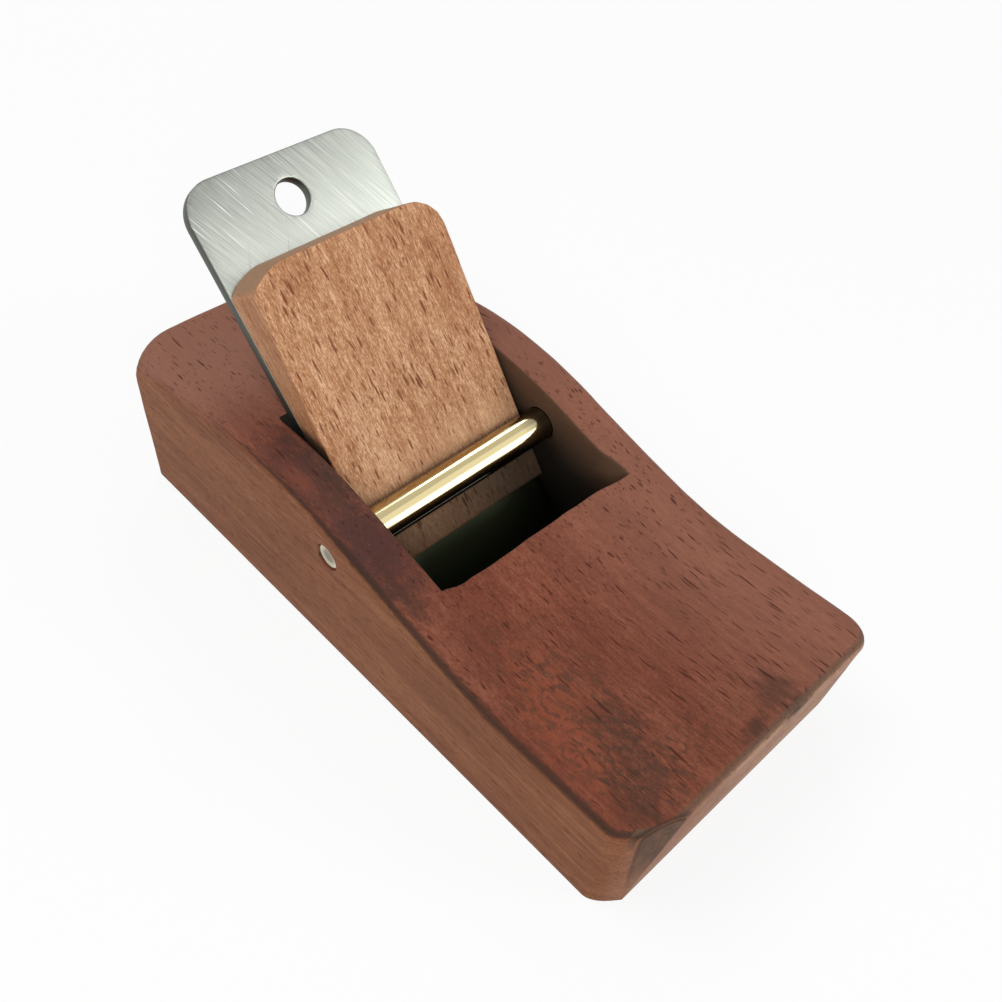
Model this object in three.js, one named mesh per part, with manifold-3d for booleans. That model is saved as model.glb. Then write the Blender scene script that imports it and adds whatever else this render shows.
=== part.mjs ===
// A small wooden hand plane: a shaped hardwood body with a throat through it, a steel blade
// lying on a sloping bed, a tapered wedge on the blade, and the round steel cross pin
// that the wedge is driven under.
//
// Millimetres. The origin is on the sole, under the middle of the body.
// +X points to the toe, +Z up, and Y runs across the plane.

import * as THREE from "three";
import { mergeVertices } from "three/addons/utils/BufferGeometryUtils.js";
import Module from "manifold-3d";

// Body outline
const bodyLength = 100.6;
const bodyWidth = 45;
const heelHeight = 26;
const heelDip = 0.3;
const humpRise = 2.5;
const palmDrop = 6.9;
const toeRise = 0.2;
const toeLean = 2.2;

// Where the top's low and high places lie, as shares of the body's length from the heel
const dipShare = 0.05;
const humpShare = 0.33;
const palmShare = 0.81;

// Body edges
const arrisRadius = 2;
const heelCornerRadius = 6.5;
const heelCornerLength = 9;
const heelEdgeRadius = 1.1;
const toeCornerWidth = 3.4;
const toeCornerLength = 4.2;
const toeEdgeRadius = 1.2;
const soleChamfer = 0.4;

// Throat, bed and mouth
const bedAngle = THREE.MathUtils.degToRad(46);
const throatFrontAngle = THREE.MathUtils.degToRad(1.7);
const mouthFromToe = 37.4;
const mouthGap = 1.8;
const throatRimChamfer = 0.6;

// Blade
const bladeWidth = 30;
const bladeLength = 72;
const bladeThickness = 2;
const bladeCornerRadius = 5;
const bladeHoleDiameter = 5;
const bladeHoleInset = 6.2;
const bladeBevelAngle = THREE.MathUtils.degToRad(25);
const bladeEdgeLand = 0.15;
const bladeRetract = 0.3;

// Wedge
const wedgeLength = 44.5;
const wedgeExtraWidth = 0.5;
const wedgeTipThickness = 0.8;
const wedgeTaper = THREE.MathUtils.degToRad(9);
const wedgeTipPastPin = 7.4;
const wedgeEndBevel = 1.5;
const wedgeCornerWidth = 3.4;
const wedgeCornerLength = 2.4;

// Cross pin
const pinDiameter = 5;
const pinBelowHump = 8.3;
const pinSink = 0.25;
const pinEndChamfer = 0.4;

// Fits
const clearance = 0.3;
const throatSideClearance = 0.75;
const cutOverrun = 6;

// How finely the curves are divided
const arrisSteps = 6;
const crestSteps = 26;
const heelSteps = 5;
const toeSteps = 8;
const roundSteps = 40;
const roundingShares = [0, 0.12, 0.42, 1];

// Heights and places worked out from the sizes above
const dipHeight = heelHeight - heelDip;
const humpHeight = heelHeight + humpRise;
const palmHeight = heelHeight - palmDrop;
const toeHeight = palmHeight + toeRise;
const heelX = -bodyLength / 2;
const toeTopX = bodyLength / 2;
const toeSoleX = toeTopX - toeLean;
const mouthX = toeSoleX - mouthFromToe;
const bladeFaceX = mouthX - mouthGap;
const wedgeWidth = bladeWidth + wedgeExtraWidth;
const throatWidth = Math.max(bladeWidth, wedgeWidth) + 2 * throatSideClearance;
const pinRadius = pinDiameter / 2;
const pinLength = bodyWidth - 2 * pinSink;
const boreRadius = pinRadius + clearance;

// Places up the bed's slope from the sole, and the pin's distance out from the blade's face
const wedgeAtPin = wedgeTipThickness + wedgeTipPastPin * Math.tan(wedgeTaper);
const pinRise = clearance + wedgeAtPin + (pinRadius + clearance) / Math.cos(wedgeTaper);
const pinHeight = humpHeight - pinBelowHump;
const pinUpSlope = (pinHeight - pinRise * Math.cos(bedAngle)) / Math.sin(bedAngle);
const wedgeTipUpSlope = pinUpSlope - wedgeTipPastPin;
const wedgeTopUpSlope = wedgeTipUpSlope + wedgeLength;
const bladeTopUpSlope = bladeRetract + bladeLength;

const wasm = await Module();
wasm.setup();

// Solids and booleans

function toSolid(geometry) {
  const bare = geometry.clone();
  bare.deleteAttribute("normal");
  bare.deleteAttribute("uv");
  const merged = mergeVertices(bare);
  return new wasm.Manifold(new wasm.Mesh({
    numProp: 3,
    vertProperties: new Float32Array(merged.attributes.position.array),
    triVerts: new Uint32Array(merged.index.array),
  }));
}

function toGeometry(solid) {
  const mesh = solid.getMesh();
  const geometry = new THREE.BufferGeometry();
  geometry.setAttribute("position", new THREE.BufferAttribute(mesh.vertProperties, mesh.numProp));
  geometry.setIndex(new THREE.BufferAttribute(mesh.triVerts, 1));
  return geometry;
}

function shapeFrom(points) {
  return new THREE.Shape(points.map(([a, b]) => new THREE.Vector2(a, b)));
}

// An outline in X and Z, given a width across Y and centred on Y = 0
function sidePrism(points, width) {
  const geometry = new THREE.ExtrudeGeometry(shapeFrom(points), { depth: width, bevelEnabled: false });
  geometry.rotateX(Math.PI / 2);
  geometry.translate(0, width / 2, 0);
  return toSolid(geometry);
}

// An outline in X and Y, given a height up Z from a low level to a high one
function planPrism(shape, low, high) {
  const geometry = new THREE.ExtrudeGeometry(shape, {
    depth: high - low,
    bevelEnabled: false,
    curveSegments: roundSteps,
  });
  geometry.translate(0, 0, low);
  return toSolid(geometry);
}

// The bed's slope. On it, X runs down towards the edge and Z stands out of the blade's face.

function fromSlope(x, z) {
  const across = new THREE.Vector3(x, 0, z).applyAxisAngle(new THREE.Vector3(0, 1, 0), bedAngle);
  return across.add(new THREE.Vector3(bladeFaceX, 0, 0));
}

// Body: sections lofted from the heel to the toe

// Height of the top at a place along the body: heel, dip, hump, low palm and toe
function crestHeight(x) {
  const share = (x - heelX) / bodyLength;
  const crest = [[0, heelHeight], [dipShare, dipHeight], [humpShare, humpHeight],
    [palmShare, palmHeight], [1, toeHeight]];
  const next = Math.max(1, crest.findIndex(([place]) => share <= place));
  const last = share > 1 ? crest.length - 1 : next;
  const [fromPlace, fromHeight] = crest[last - 1];
  const [toPlace, toHeight] = crest[last];
  return THREE.MathUtils.lerp(fromHeight, toHeight, THREE.MathUtils.smoothstep(share, fromPlace, toPlace));
}

// How far a quarter round of a radius draws a surface in, at a distance from its end
function roundingDraw(distance, radius) {
  const inside = Math.max(0, radius - distance);
  return radius - Math.sqrt(radius * radius - inside * inside);
}

// The body's places for sections, measured along the sole
function stationPlaces() {
  const heelEnd = heelX + heelCornerLength;
  const toeRun = Math.max(toeCornerLength, toeEdgeRadius);
  const toeStart = toeSoleX - toeRun;
  const places = roundingShares.map((share) => heelX + share * heelEdgeRadius);
  for (let i = 1; i <= heelSteps; i += 1) {
    places.push(THREE.MathUtils.lerp(heelX + heelEdgeRadius, heelEnd, i / heelSteps));
  }
  for (let i = 1; i <= crestSteps; i += 1) {
    places.push(THREE.MathUtils.lerp(heelEnd, toeStart, i / crestSteps));
  }
  for (let i = 1; i <= toeSteps; i += 1) {
    places.push(toeStart + toeRun * Math.sin((Math.PI / 2) * (i / toeSteps)));
  }
  return places;
}

function arrisRadiusAt(x) {
  const towardsHeel = 1 - THREE.MathUtils.smoothstep(x, heelX, heelX + heelCornerLength);
  return THREE.MathUtils.lerp(arrisRadius, heelCornerRadius, towardsHeel);
}

function halfWidthAt(x) {
  const heelDraw = roundingDraw(x - heelX, heelEdgeRadius);
  const cornerDraw = roundingDraw(toeSoleX - x, toeCornerLength) * toeCornerWidth / toeCornerLength;
  return bodyWidth / 2 - heelDraw - cornerDraw;
}

// The toe face leans out, so a section near it leans with it
function leanAt(x, z) {
  const nearToe = THREE.MathUtils.clamp((x - mouthX) / (toeSoleX - mouthX), 0, 1);
  const faceTop = toeHeight - toeEdgeRadius;
  return toeLean * nearToe * nearToe * Math.min(1, z / faceTop);
}

function topHeightAt(x) {
  const heelDraw = roundingDraw(x - heelX, heelEdgeRadius);
  const toeDraw = roundingDraw(toeSoleX - x, toeEdgeRadius);
  return crestHeight(x + leanAt(x, toeHeight)) - heelDraw - toeDraw;
}

function arcPoints(centreY, centreZ, radius, fromAngle) {
  const points = [];
  for (let i = 0; i <= arrisSteps; i += 1) {
    const angle = fromAngle + (Math.PI / 2) * (i / arrisSteps);
    points.push([centreY + radius * Math.cos(angle), centreZ + radius * Math.sin(angle)]);
  }
  return points;
}

function bodySection(x) {
  const half = halfWidthAt(x);
  const top = topHeightAt(x);
  const radius = arrisRadiusAt(x);
  const outline = [
    [-half, soleChamfer], [-half + soleChamfer, 0], [half - soleChamfer, 0], [half, soleChamfer],
    ...arcPoints(half - radius, top - radius, radius, 0),
    ...arcPoints(radius - half, top - radius, radius, Math.PI / 2),
  ];
  return outline.map(([y, z]) => new THREE.Vector3(x + leanAt(x, z), y, z));
}

// Joins closed rings of points, one after another along +X, into one closed body
function loft(rings) {
  const count = rings[0].length;
  const triangles = [];
  for (let ring = 0; ring + 1 < rings.length; ring += 1) {
    for (let i = 0; i < count; i += 1) {
      const a = ring * count + i;
      const b = ring * count + ((i + 1) % count);
      triangles.push(a, b, b + count, a, b + count, a + count);
    }
  }
  const last = (rings.length - 1) * count;
  for (let i = 1; i + 1 < count; i += 1) {
    triangles.push(0, i + 1, i, last, last + i, last + i + 1);
  }
  const geometry = new THREE.BufferGeometry().setFromPoints(rings.flat());
  geometry.setIndex(triangles);
  return toSolid(geometry);
}

function bodyStock() {
  return loft(stationPlaces().map(bodySection));
}

// The throat's front wall, nearly upright, at a height above the sole
function throatFrontX(z) {
  return mouthX + z * Math.tan(throatFrontAngle);
}

// The bed's line under the blade's back, at a height above the sole
function bedX(z) {
  const depth = bladeThickness + clearance;
  return bladeFaceX - depth / Math.sin(bedAngle) - z / Math.tan(bedAngle);
}

// Below the sole the cut goes straight down, because its two walls would cross there
function throatCut() {
  const low = -cutOverrun;
  const high = humpHeight + cutOverrun;
  const outline = [
    [bedX(0), low], [throatFrontX(0), low], [throatFrontX(0), 0],
    [throatFrontX(high), high], [bedX(high), high], [bedX(0), 0],
  ];
  return sidePrism(outline, throatWidth);
}

// A bar across the throat that takes the corner off the front wall's top edge
function throatRimCut() {
  const rimZ = crestHeight(mouthX);
  const x = throatFrontX(rimZ);
  const outline = [
    [x - throatRimChamfer, rimZ - throatRimChamfer],
    [x, rimZ - throatRimChamfer],
    [x + throatRimChamfer, rimZ],
    [x + throatRimChamfer, rimZ + throatRimChamfer],
    [x - throatRimChamfer, rimZ + throatRimChamfer],
  ];
  return sidePrism(outline, throatWidth);
}

// How thick the wedge is at a distance up the slope from the sole
function wedgeThicknessAt(upSlope) {
  return wedgeTipThickness + (upSlope - wedgeTipUpSlope) * Math.tan(wedgeTaper);
}

// The pin lies against the wedge's sloping top
function pinCentre() {
  return fromSlope(-pinUpSlope, pinRise);
}

function pinBore() {
  const length = bodyWidth + 2 * cutOverrun;
  const geometry = new THREE.CylinderGeometry(boreRadius, boreRadius, length, roundSteps);
  const centre = pinCentre();
  geometry.translate(centre.x, 0, centre.z);
  return toSolid(geometry);
}

function bodyGeometry() {
  const throat = throatCut().add(throatRimCut());
  return toGeometry(bodyStock().subtract(throat).subtract(pinBore()));
}

// Blade: a ground side profile cut to a plan with rounded top corners and a hole

function bladeProfile() {
  const bevelRun = (bladeThickness - bladeEdgeLand) / Math.tan(bladeBevelAngle);
  return [
    [-bladeRetract, 0],
    [-bladeTopUpSlope, 0],
    [-bladeTopUpSlope, -bladeThickness],
    [-bladeRetract - bevelRun, -bladeThickness],
    [-bladeRetract, -bladeEdgeLand],
  ];
}

function bladePlan() {
  const half = bladeWidth / 2;
  const top = -bladeTopUpSlope;
  const shape = new THREE.Shape();
  shape.moveTo(cutOverrun, -half);
  shape.lineTo(cutOverrun, half);
  shape.lineTo(top + bladeCornerRadius, half);
  shape.absarc(top + bladeCornerRadius, half - bladeCornerRadius, bladeCornerRadius,
    Math.PI / 2, Math.PI, false);
  shape.absarc(top + bladeCornerRadius, bladeCornerRadius - half, bladeCornerRadius,
    Math.PI, 1.5 * Math.PI, false);
  shape.closePath();
  const hole = new THREE.Path();
  hole.absarc(top + bladeHoleInset, 0, bladeHoleDiameter / 2, 0, 2 * Math.PI, true);
  shape.holes.push(hole);
  return shape;
}

function bladeGeometry() {
  const blank = sidePrism(bladeProfile(), bladeWidth + cutOverrun);
  const plan = planPrism(bladePlan(), -bladeThickness - cutOverrun, cutOverrun);
  return toGeometry(blank.intersect(plan));
}

// Wedge: a tapered side profile cut to a plan with clipped top corners

function wedgeProfile() {
  const seat = clearance;
  return [
    [-wedgeTipUpSlope, seat],
    [-wedgeTipUpSlope, seat + wedgeTipThickness],
    [-wedgeTopUpSlope + wedgeEndBevel, seat + wedgeThicknessAt(wedgeTopUpSlope - wedgeEndBevel)],
    [-wedgeTopUpSlope, seat],
  ];
}

function wedgePlan() {
  const half = wedgeWidth / 2;
  const top = -wedgeTopUpSlope;
  return shapeFrom([
    [cutOverrun, -half],
    [cutOverrun, half],
    [top + wedgeCornerLength, half],
    [top, half - wedgeCornerWidth],
    [top, wedgeCornerWidth - half],
    [top + wedgeCornerLength, -half],
  ]);
}

function wedgeGeometry() {
  const blank = sidePrism(wedgeProfile(), wedgeWidth + cutOverrun);
  const high = wedgeThicknessAt(wedgeTopUpSlope) + cutOverrun;
  return toGeometry(blank.intersect(planPrism(wedgePlan(), -cutOverrun, high)));
}

// Cross pin: a turned rod with chamfered ends

function pinGeometry() {
  const end = pinLength / 2;
  const profile = [
    [0, -end],
    [pinRadius - pinEndChamfer, -end],
    [pinRadius, pinEndChamfer - end],
    [pinRadius, end - pinEndChamfer],
    [pinRadius - pinEndChamfer, end],
    [0, end],
  ];
  const points = profile.map(([radius, y]) => new THREE.Vector2(radius, y));
  return toGeometry(toSolid(new THREE.LatheGeometry(points, roundSteps)));
}

// Finishes

const bodyWood = new THREE.MeshStandardMaterial({ color: 0x6e4033, roughness: 0.5, metalness: 0 });
const wedgeWood = new THREE.MeshStandardMaterial({ color: 0xa9714d, roughness: 0.5, metalness: 0 });
const bladeSteel = new THREE.MeshStandardMaterial({ color: 0xb4b8b2, roughness: 0.35, metalness: 1 });
const pinSteel = new THREE.MeshStandardMaterial({ color: 0xd8d6cc, roughness: 0.15, metalness: 1 });

function named(name, geometry, material) {
  geometry.computeVertexNormals();
  const mesh = new THREE.Mesh(geometry, material);
  mesh.name = name;
  return mesh;
}

// Assembly

function crossPin() {
  const pin = named("cross_pin", pinGeometry(), pinSteel);
  pin.position.copy(pinCentre());
  return pin;
}

function bladeAndWedge() {
  const slope = new THREE.Group();
  slope.position.set(bladeFaceX, 0, 0);
  slope.rotation.y = bedAngle;
  slope.add(named("blade", bladeGeometry(), bladeSteel));
  slope.add(named("wedge", wedgeGeometry(), wedgeWood));
  return slope;
}

const plane = new THREE.Group();
plane.add(named("plane_body", bodyGeometry(), bodyWood));
plane.add(crossPin());
plane.add(bladeAndWedge());

export default plane;
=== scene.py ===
"""Finished pieces of a small wooden hand plane, built around its frame."""

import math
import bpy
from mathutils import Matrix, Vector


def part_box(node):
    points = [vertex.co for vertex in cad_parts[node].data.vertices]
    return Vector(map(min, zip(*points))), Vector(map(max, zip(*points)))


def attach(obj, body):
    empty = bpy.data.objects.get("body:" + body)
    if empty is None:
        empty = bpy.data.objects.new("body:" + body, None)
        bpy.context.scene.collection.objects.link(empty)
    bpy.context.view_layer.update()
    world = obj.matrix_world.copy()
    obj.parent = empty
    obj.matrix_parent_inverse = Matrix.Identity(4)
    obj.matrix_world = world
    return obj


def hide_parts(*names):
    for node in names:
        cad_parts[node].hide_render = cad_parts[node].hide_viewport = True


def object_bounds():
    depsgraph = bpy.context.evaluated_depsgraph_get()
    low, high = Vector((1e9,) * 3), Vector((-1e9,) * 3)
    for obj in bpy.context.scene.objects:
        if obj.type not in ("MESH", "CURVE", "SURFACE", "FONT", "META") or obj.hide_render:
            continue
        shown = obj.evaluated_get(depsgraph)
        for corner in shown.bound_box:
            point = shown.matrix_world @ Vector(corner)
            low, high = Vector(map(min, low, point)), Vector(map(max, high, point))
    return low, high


bl_info = {
    "name": "Small Hand Plane",
    "version": (1, 0, 0),
    "blender": (4, 5, 0),
    "location": "View3D > Sidebar > Hand Plane",
    "description": "Builds the body, blade, wedge and cross pin of a small wooden hand plane",
    "category": "Object",
}

from types import SimpleNamespace

import bmesh
import bpy
from bpy.props import FloatProperty, FloatVectorProperty, IntProperty, PointerProperty
from mathutils import Matrix, Vector, noise

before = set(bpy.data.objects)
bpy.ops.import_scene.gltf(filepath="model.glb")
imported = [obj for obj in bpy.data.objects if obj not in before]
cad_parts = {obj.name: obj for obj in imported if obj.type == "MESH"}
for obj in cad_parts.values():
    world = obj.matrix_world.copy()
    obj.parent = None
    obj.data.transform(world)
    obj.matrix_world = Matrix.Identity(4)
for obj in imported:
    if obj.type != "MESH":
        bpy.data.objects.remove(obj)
CAD_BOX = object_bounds()

MM = 0.001


def box_sides(node):
    """The length, width and height of a node's box."""
    low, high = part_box(node)
    return [high[i] - low[i] for i in range(3)]


BODY_SIDES = box_sides("plane_body")
PIN_LOW, PIN_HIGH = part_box("cross_pin")
PIN_RADIUS = (PIN_HIGH[0] - PIN_LOW[0]) / 2
BLADE_WIDTH = box_sides("blade")[1]
WEDGE_WIDTH = box_sides("wedge")[1]


# Sizes and colours

def length(name, description, default):
    """A length in metres that the sidebar shows in the scene's unit."""
    return FloatProperty(name=name, description=description, default=default, unit="LENGTH")


def angle(name, description, degrees):
    """An angle that the sidebar shows in degrees."""
    return FloatProperty(
        name=name, description=description, default=math.radians(degrees), subtype="ANGLE"
    )


def share(name, description, default):
    """A share between nothing and all."""
    return FloatProperty(
        name=name, description=description, default=default, min=0.0, max=1.0, subtype="FACTOR"
    )


def colour(name, description, default):
    """A colour, as light it gives back."""
    return FloatVectorProperty(
        name=name, description=description, default=default, size=3, min=0.0, max=1.0,
        subtype="COLOR",
    )


class BodySizes(bpy.types.PropertyGroup):
    """Sizes of the wooden body."""

    body_length: length("Length", "Length over the toe's top", BODY_SIDES[0])
    body_width: length("Width", "Width of the body", BODY_SIDES[1])
    hump_height: length("Hump height", "Height at the hump", BODY_SIDES[2])
    heel_drop: length("Heel drop", "How far the heel lies below the hump", 2.5 * MM)
    heel_dip: length("Heel dip", "How far the top dips behind the hump", 0.3 * MM)
    palm_drop: length("Palm drop", "How far the front lies below the hump", 9.4 * MM)
    toe_rise: length("Toe rise", "How far the toe rises again", 0.2 * MM)
    toe_lean: length("Toe lean", "How far the toe face leans out at its top", 1.72 * MM)
    toe_crown: length("Toe crown", "How far the toe draws back at its sides", 0.82 * MM)
    top_crown: length("Top crown", "How far the top falls away at its sides", 0.3 * MM)
    far_sag: length("Far sag", "How far the far arris sags beside the throat", 0.35 * MM)
    dip_share: share("Dip place", "Place of the dip along the length", 0.05)
    hump_share: share("Hump place", "Place of the hump along the length", 0.33)
    palm_share: share("Palm place", "Place where the low front begins", 0.81)
    arris_radius: length("Arris radius", "Rounding along the top's long edges", 2.0 * MM)
    heel_corner: length("Heel corner", "Rounding of the top's corners at the heel", 6.5 * MM)
    heel_corner_length: length("Heel corner length", "Length that it grows over", 9.0 * MM)
    heel_edge: length("Heel edge", "Rounding of the heel face's edges", 1.1 * MM)
    toe_edge: length("Toe edge", "Rounding of the toe's top edge", 1.2 * MM)
    near_corner: length("Near corner", "Width of the near corner's rounding at the toe", 3.13 * MM)
    near_corner_length: length("Near corner length", "Length of that rounding", 3.67 * MM)
    near_upright: share("Near corner upright", "How much of the toe's lean it leaves out", 0.65)
    far_corner: length("Far corner", "Width of the far corner's rounding at the toe", 2.1 * MM)
    far_corner_length: length("Far corner length", "Length of that rounding", 4.4 * MM)
    facet_reach: length("Facet reach", "Place of the chiselled corner facet", 54.28 * MM)
    facet_turn: FloatProperty(name="Facet turn", description="Its run across the body", default=0.326)
    facet_lean: FloatProperty(name="Facet lean", description="Its run up the body", default=0.05)
    mouth_from_toe: length("Mouth place", "From the toe to the mouth, on the sole", 37.88 * MM)
    mouth_gap: length("Mouth gap", "From the blade to the front of the mouth", 1.8 * MM)
    bed_angle: angle("Bed angle", "Slope of the bed", 46.0)
    front_angle: angle("Throat front angle", "Lean of the throat's front wall", 1.7)
    throat_side: length("Throat side gap", "From the wedge to a cheek", 0.75 * MM)
    rim_radius: length("Rim radius", "Rounding of the throat's upper rim", 0.4 * MM)
    front_wear: length("Front wear", "How far the front wall's rim is worn forward", 0.75 * MM)
    corner_wear: length("Corner wear", "How much further at the far corner", 0.6 * MM)
    sole_edge: length("Sole edge", "Rounding of the sole's edges", 0.2 * MM)
    bore_mouth: length("Bore mouth", "Radius of the pin holes at the sides", 2.0 * MM)
    bore_lip: length("Bore lip", "Depth of that narrower part", 0.7 * MM)
    pin_gap: length("Pin gap", "Gap round the pin", 0.12 * MM)
    unevenness: length("Unevenness", "Hand-planed unevenness of the faces", 0.06 * MM)
    arc_steps: IntProperty(name="Arc steps", description="Faces round an arris", default=8)
    long_steps: IntProperty(name="Long steps", description="Faces along the body", default=110)


class BladeSizes(bpy.types.PropertyGroup):
    """Sizes of the steel blade."""

    blade_width: length("Width", "Width of the blade", BLADE_WIDTH)
    blade_length: length("Length", "Length of the blade", 72.0 * MM)
    thickness: length("Thickness", "Thickness of the blade", 2.0 * MM)
    corner: length("Corner radius", "Radius of the top corners", 5.0 * MM)
    hole: length("Hole radius", "Radius of the hole", 2.5 * MM)
    hole_inset: length("Hole place", "From the top end to the hole's middle", 6.2 * MM)
    retract: length("Set back", "How far the edge lies up the slope from the sole", 0.3 * MM)
    bevel: angle("Bevel", "Angle of the ground bevel", 25.0)
    edge_land: length("Edge", "Thickness of the cutting edge", 0.15 * MM)
    softening: length("Edge rounding", "Rounding of the blade's edges", 0.3 * MM)


class WedgeSizes(bpy.types.PropertyGroup):
    """Sizes of the wooden wedge."""

    wedge_width: length("Width", "Width of the wedge", WEDGE_WIDTH)
    wedge_length: length("Length", "Length along the blade", 44.2 * MM)
    tip: length("Tip", "Thickness at the tip", 0.8 * MM)
    taper: angle("Taper", "Angle of the taper", 9.0)
    past_pin: length("Tip place", "From the pin to the tip, along the slope", 7.4 * MM)
    end_bevel: length("End bevel", "Lean of the top end", 1.3 * MM)
    near_width: length("Near corner width", "Width of the near clipped corner", 5.4 * MM)
    near_length: length("Near corner length", "Length of the near clipped corner", 2.7 * MM)
    far_width: length("Far corner width", "Width of the far rounded corner", 5.0 * MM)
    far_length: length("Far corner length", "Length of the far rounded corner", 4.4 * MM)
    seat: length("Seat gap", "Gap between the wedge and the blade", 0.3 * MM)
    softening: length("Edge rounding", "Rounding of the wedge's edges", 0.35 * MM)
    unevenness: length("Unevenness", "Hand-cut unevenness of the faces", 0.05 * MM)


class PinSizes(bpy.types.PropertyGroup):
    """Sizes of the cross pin."""

    radius: length("Radius", "Radius of the pin", PIN_RADIUS)
    pin_length: length("Length", "Length of the pin", PIN_HIGH[1] - PIN_LOW[1])
    neck: length("Neck radius", "Radius of the pin at its ends", 1.92 * MM)
    neck_length: length("Neck length", "Length of the narrower ends", 0.75 * MM)
    rounding: length("End rounding", "Rounding of the cut ends' edges", 0.3 * MM)
    dish: length("End dish", "Hollow of the cut ends", 0.12 * MM)
    steps: IntProperty(name="Steps", description="Faces round the pin", default=96)


class FinishColours(bpy.types.PropertyGroup):
    """Colours of the wood and the steel."""

    top_dark: colour("Top, dark", "Dark figure of the body's top", (0.086, 0.025, 0.014))
    top_mid: colour("Top, middle", "Middle tone of the body's top", (0.160, 0.047, 0.027))
    top_light: colour("Top, light", "Light fibres of the body's top", (0.245, 0.087, 0.051))
    # Painted light: top_pale lightens the top where light falls, at the heel and the far side
    top_pale: colour("Top, pale", "Paler top at the heel and the far side", (0.275, 0.132, 0.091))
    red: colour("Red patches", "Red patches of the body's top", (0.240, 0.060, 0.030))
    mottle: colour("Mottling", "Dark flecks between the red", (0.080, 0.036, 0.022))
    cheek: colour("Near cheek", "Darkened top of the near cheek", (0.068, 0.027, 0.022))
    side_dark: colour("Side, dark", "Dark figure of the body's sides", (0.128, 0.041, 0.018))
    side_mid: colour("Side, middle", "Middle tone of the body's sides", (0.203, 0.072, 0.029))
    side_light: colour("Side, light", "Light fibres of the body's sides", (0.292, 0.125, 0.058))
    end_dark: colour("End, dark", "Dark specks of the end grain", (0.185, 0.084, 0.046))
    end_wood: colour("End wood", "End grain of the body", (0.306, 0.162, 0.099))
    end_light: colour("End, light", "Light specks of the end grain", (0.435, 0.268, 0.178))
    # pore also colours the painted contact shadow above the pin on the wedge
    pore: colour("Pores", "Open pores of the wood", (0.050, 0.014, 0.009))
    grime: colour("Grime", "Dark grip marks", (0.042, 0.023, 0.016))
    band: colour("Dark arris", "Dark band along the near arris", (0.040, 0.023, 0.016))
    worn: colour("Worn wood", "Greyed wood at the toe's bevel", (0.110, 0.064, 0.042))
    facet: colour("Facet", "Chiselled corner facet", (0.064, 0.031, 0.016))
    # throat_wall and throat: dull grimy wood on the throat's walls with painted shade, near black
    # deep down
    throat_wall: colour("Throat walls", "Dull wood of the throat's walls", (0.100, 0.062, 0.040))
    throat: colour("Throat", "Dirt deep in the throat", (0.014, 0.012, 0.009))
    wedge_dark: colour("Wedge, dark", "Dark figure of the wedge", (0.290, 0.112, 0.048))
    wedge_mid: colour("Wedge, middle", "Middle tone of the wedge", (0.430, 0.212, 0.103))
    wedge_light: colour("Wedge, light", "Light fibres of the wedge", (0.660, 0.400, 0.235))
    wedge_pore: colour("Wedge pores", "Open pores of the wedge", (0.175, 0.042, 0.017))
    wedge_end: colour("Wedge end", "End grain at the wedge's top", (0.260, 0.150, 0.085))
    steel: colour("Blade steel", "Ground face of the blade", (0.440, 0.460, 0.418))
    # steel_edge: dark steel for deep scratches, and painted shade on the blade's narrow sides and on
    # the pin
    steel_edge: colour("Blade edge", "Sides of the blade", (0.070, 0.076, 0.064))
    scratch: colour("Bright scratches", "Fresh lines in the blade", (0.950, 0.970, 0.930))
    # Painted shade: the blade's foot deep in the throat, near black
    steel_foot: colour("Blade foot", "Oiled steel near the edge", (0.028, 0.034, 0.018))
    polished: colour("Pin steel", "Polished pin", (0.550, 0.460, 0.250))
    pin_cut: colour("Pin ends", "Cut ends of the pin", (0.640, 0.640, 0.540))
    pin_hollow: colour("Pin end hollows", "Middle of the cut ends", (0.150, 0.125, 0.100))


class StageSettings(bpy.types.PropertyGroup):
    """Camera, lamps and floor."""

    lens: FloatProperty(name="Lens", description="Focal length", default=39.104, unit="CAMERA")
    camera_place: FloatVectorProperty(
        name="Camera", description="Place of the camera", size=3, unit="LENGTH",
        default=(73.227 * MM, -71.093 * MM, 127.606 * MM),
    )
    azimuth: angle("Azimuth", "Direction the camera stands in", 43.81)
    elevation: angle("Elevation", "How far the camera looks down", 47.04)
    roll: angle("Roll", "Roll of the camera", 3.72)
    key_power: FloatProperty(name="Key", description="Watts of the key lamp", default=1.4)
    soft_power: FloatProperty(name="Soft", description="Watts of the soft lamp", default=0.19)
    fill_power: FloatProperty(name="Fill", description="Watts of the fill lamp", default=2.3)
    back_power: FloatProperty(name="Back", description="Watts of the back lamp", default=0.95)
    glint_power: FloatProperty(name="Glint", description="Watts of the small lamp", default=0.4)
    ambient: FloatProperty(name="Ambient", description="Light of the room", default=0.35)


GROUPS = {
    "plane_body_sizes": BodySizes,
    "plane_blade_sizes": BladeSizes,
    "plane_wedge_sizes": WedgeSizes,
    "plane_pin_sizes": PinSizes,
    "plane_finish": FinishColours,
    "plane_stage": StageSettings,
}


def millimetres(group):
    """A group's lengths in millimetres, and its other values as they are."""
    values = SimpleNamespace()
    for prop in group.bl_rna.properties:
        if prop.identifier in ("rna_type", "name"):
            continue
        value = getattr(group, prop.identifier)
        setattr(values, prop.identifier, value / MM if prop.unit == "LENGTH" else value)
    return values


# Places on the slope. There X runs down towards the edge and Z stands out of the blade's face.

def mouth_place(body):
    """Where the mouth's front meets the sole, along X."""
    return body.body_length / 2 - body.toe_lean - body.mouth_from_toe


def blade_foot(body):
    """Where the blade's face meets the sole, along X."""
    return mouth_place(body) - body.mouth_gap


def slope_matrix(body):
    """Turns places on the slope into places in the frame, in millimetres."""
    turn = Matrix.Rotation(body.bed_angle, 4, "Y")
    return Matrix.Translation((blade_foot(body), 0.0, 0.0)) @ turn


# Rules in node trees

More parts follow.
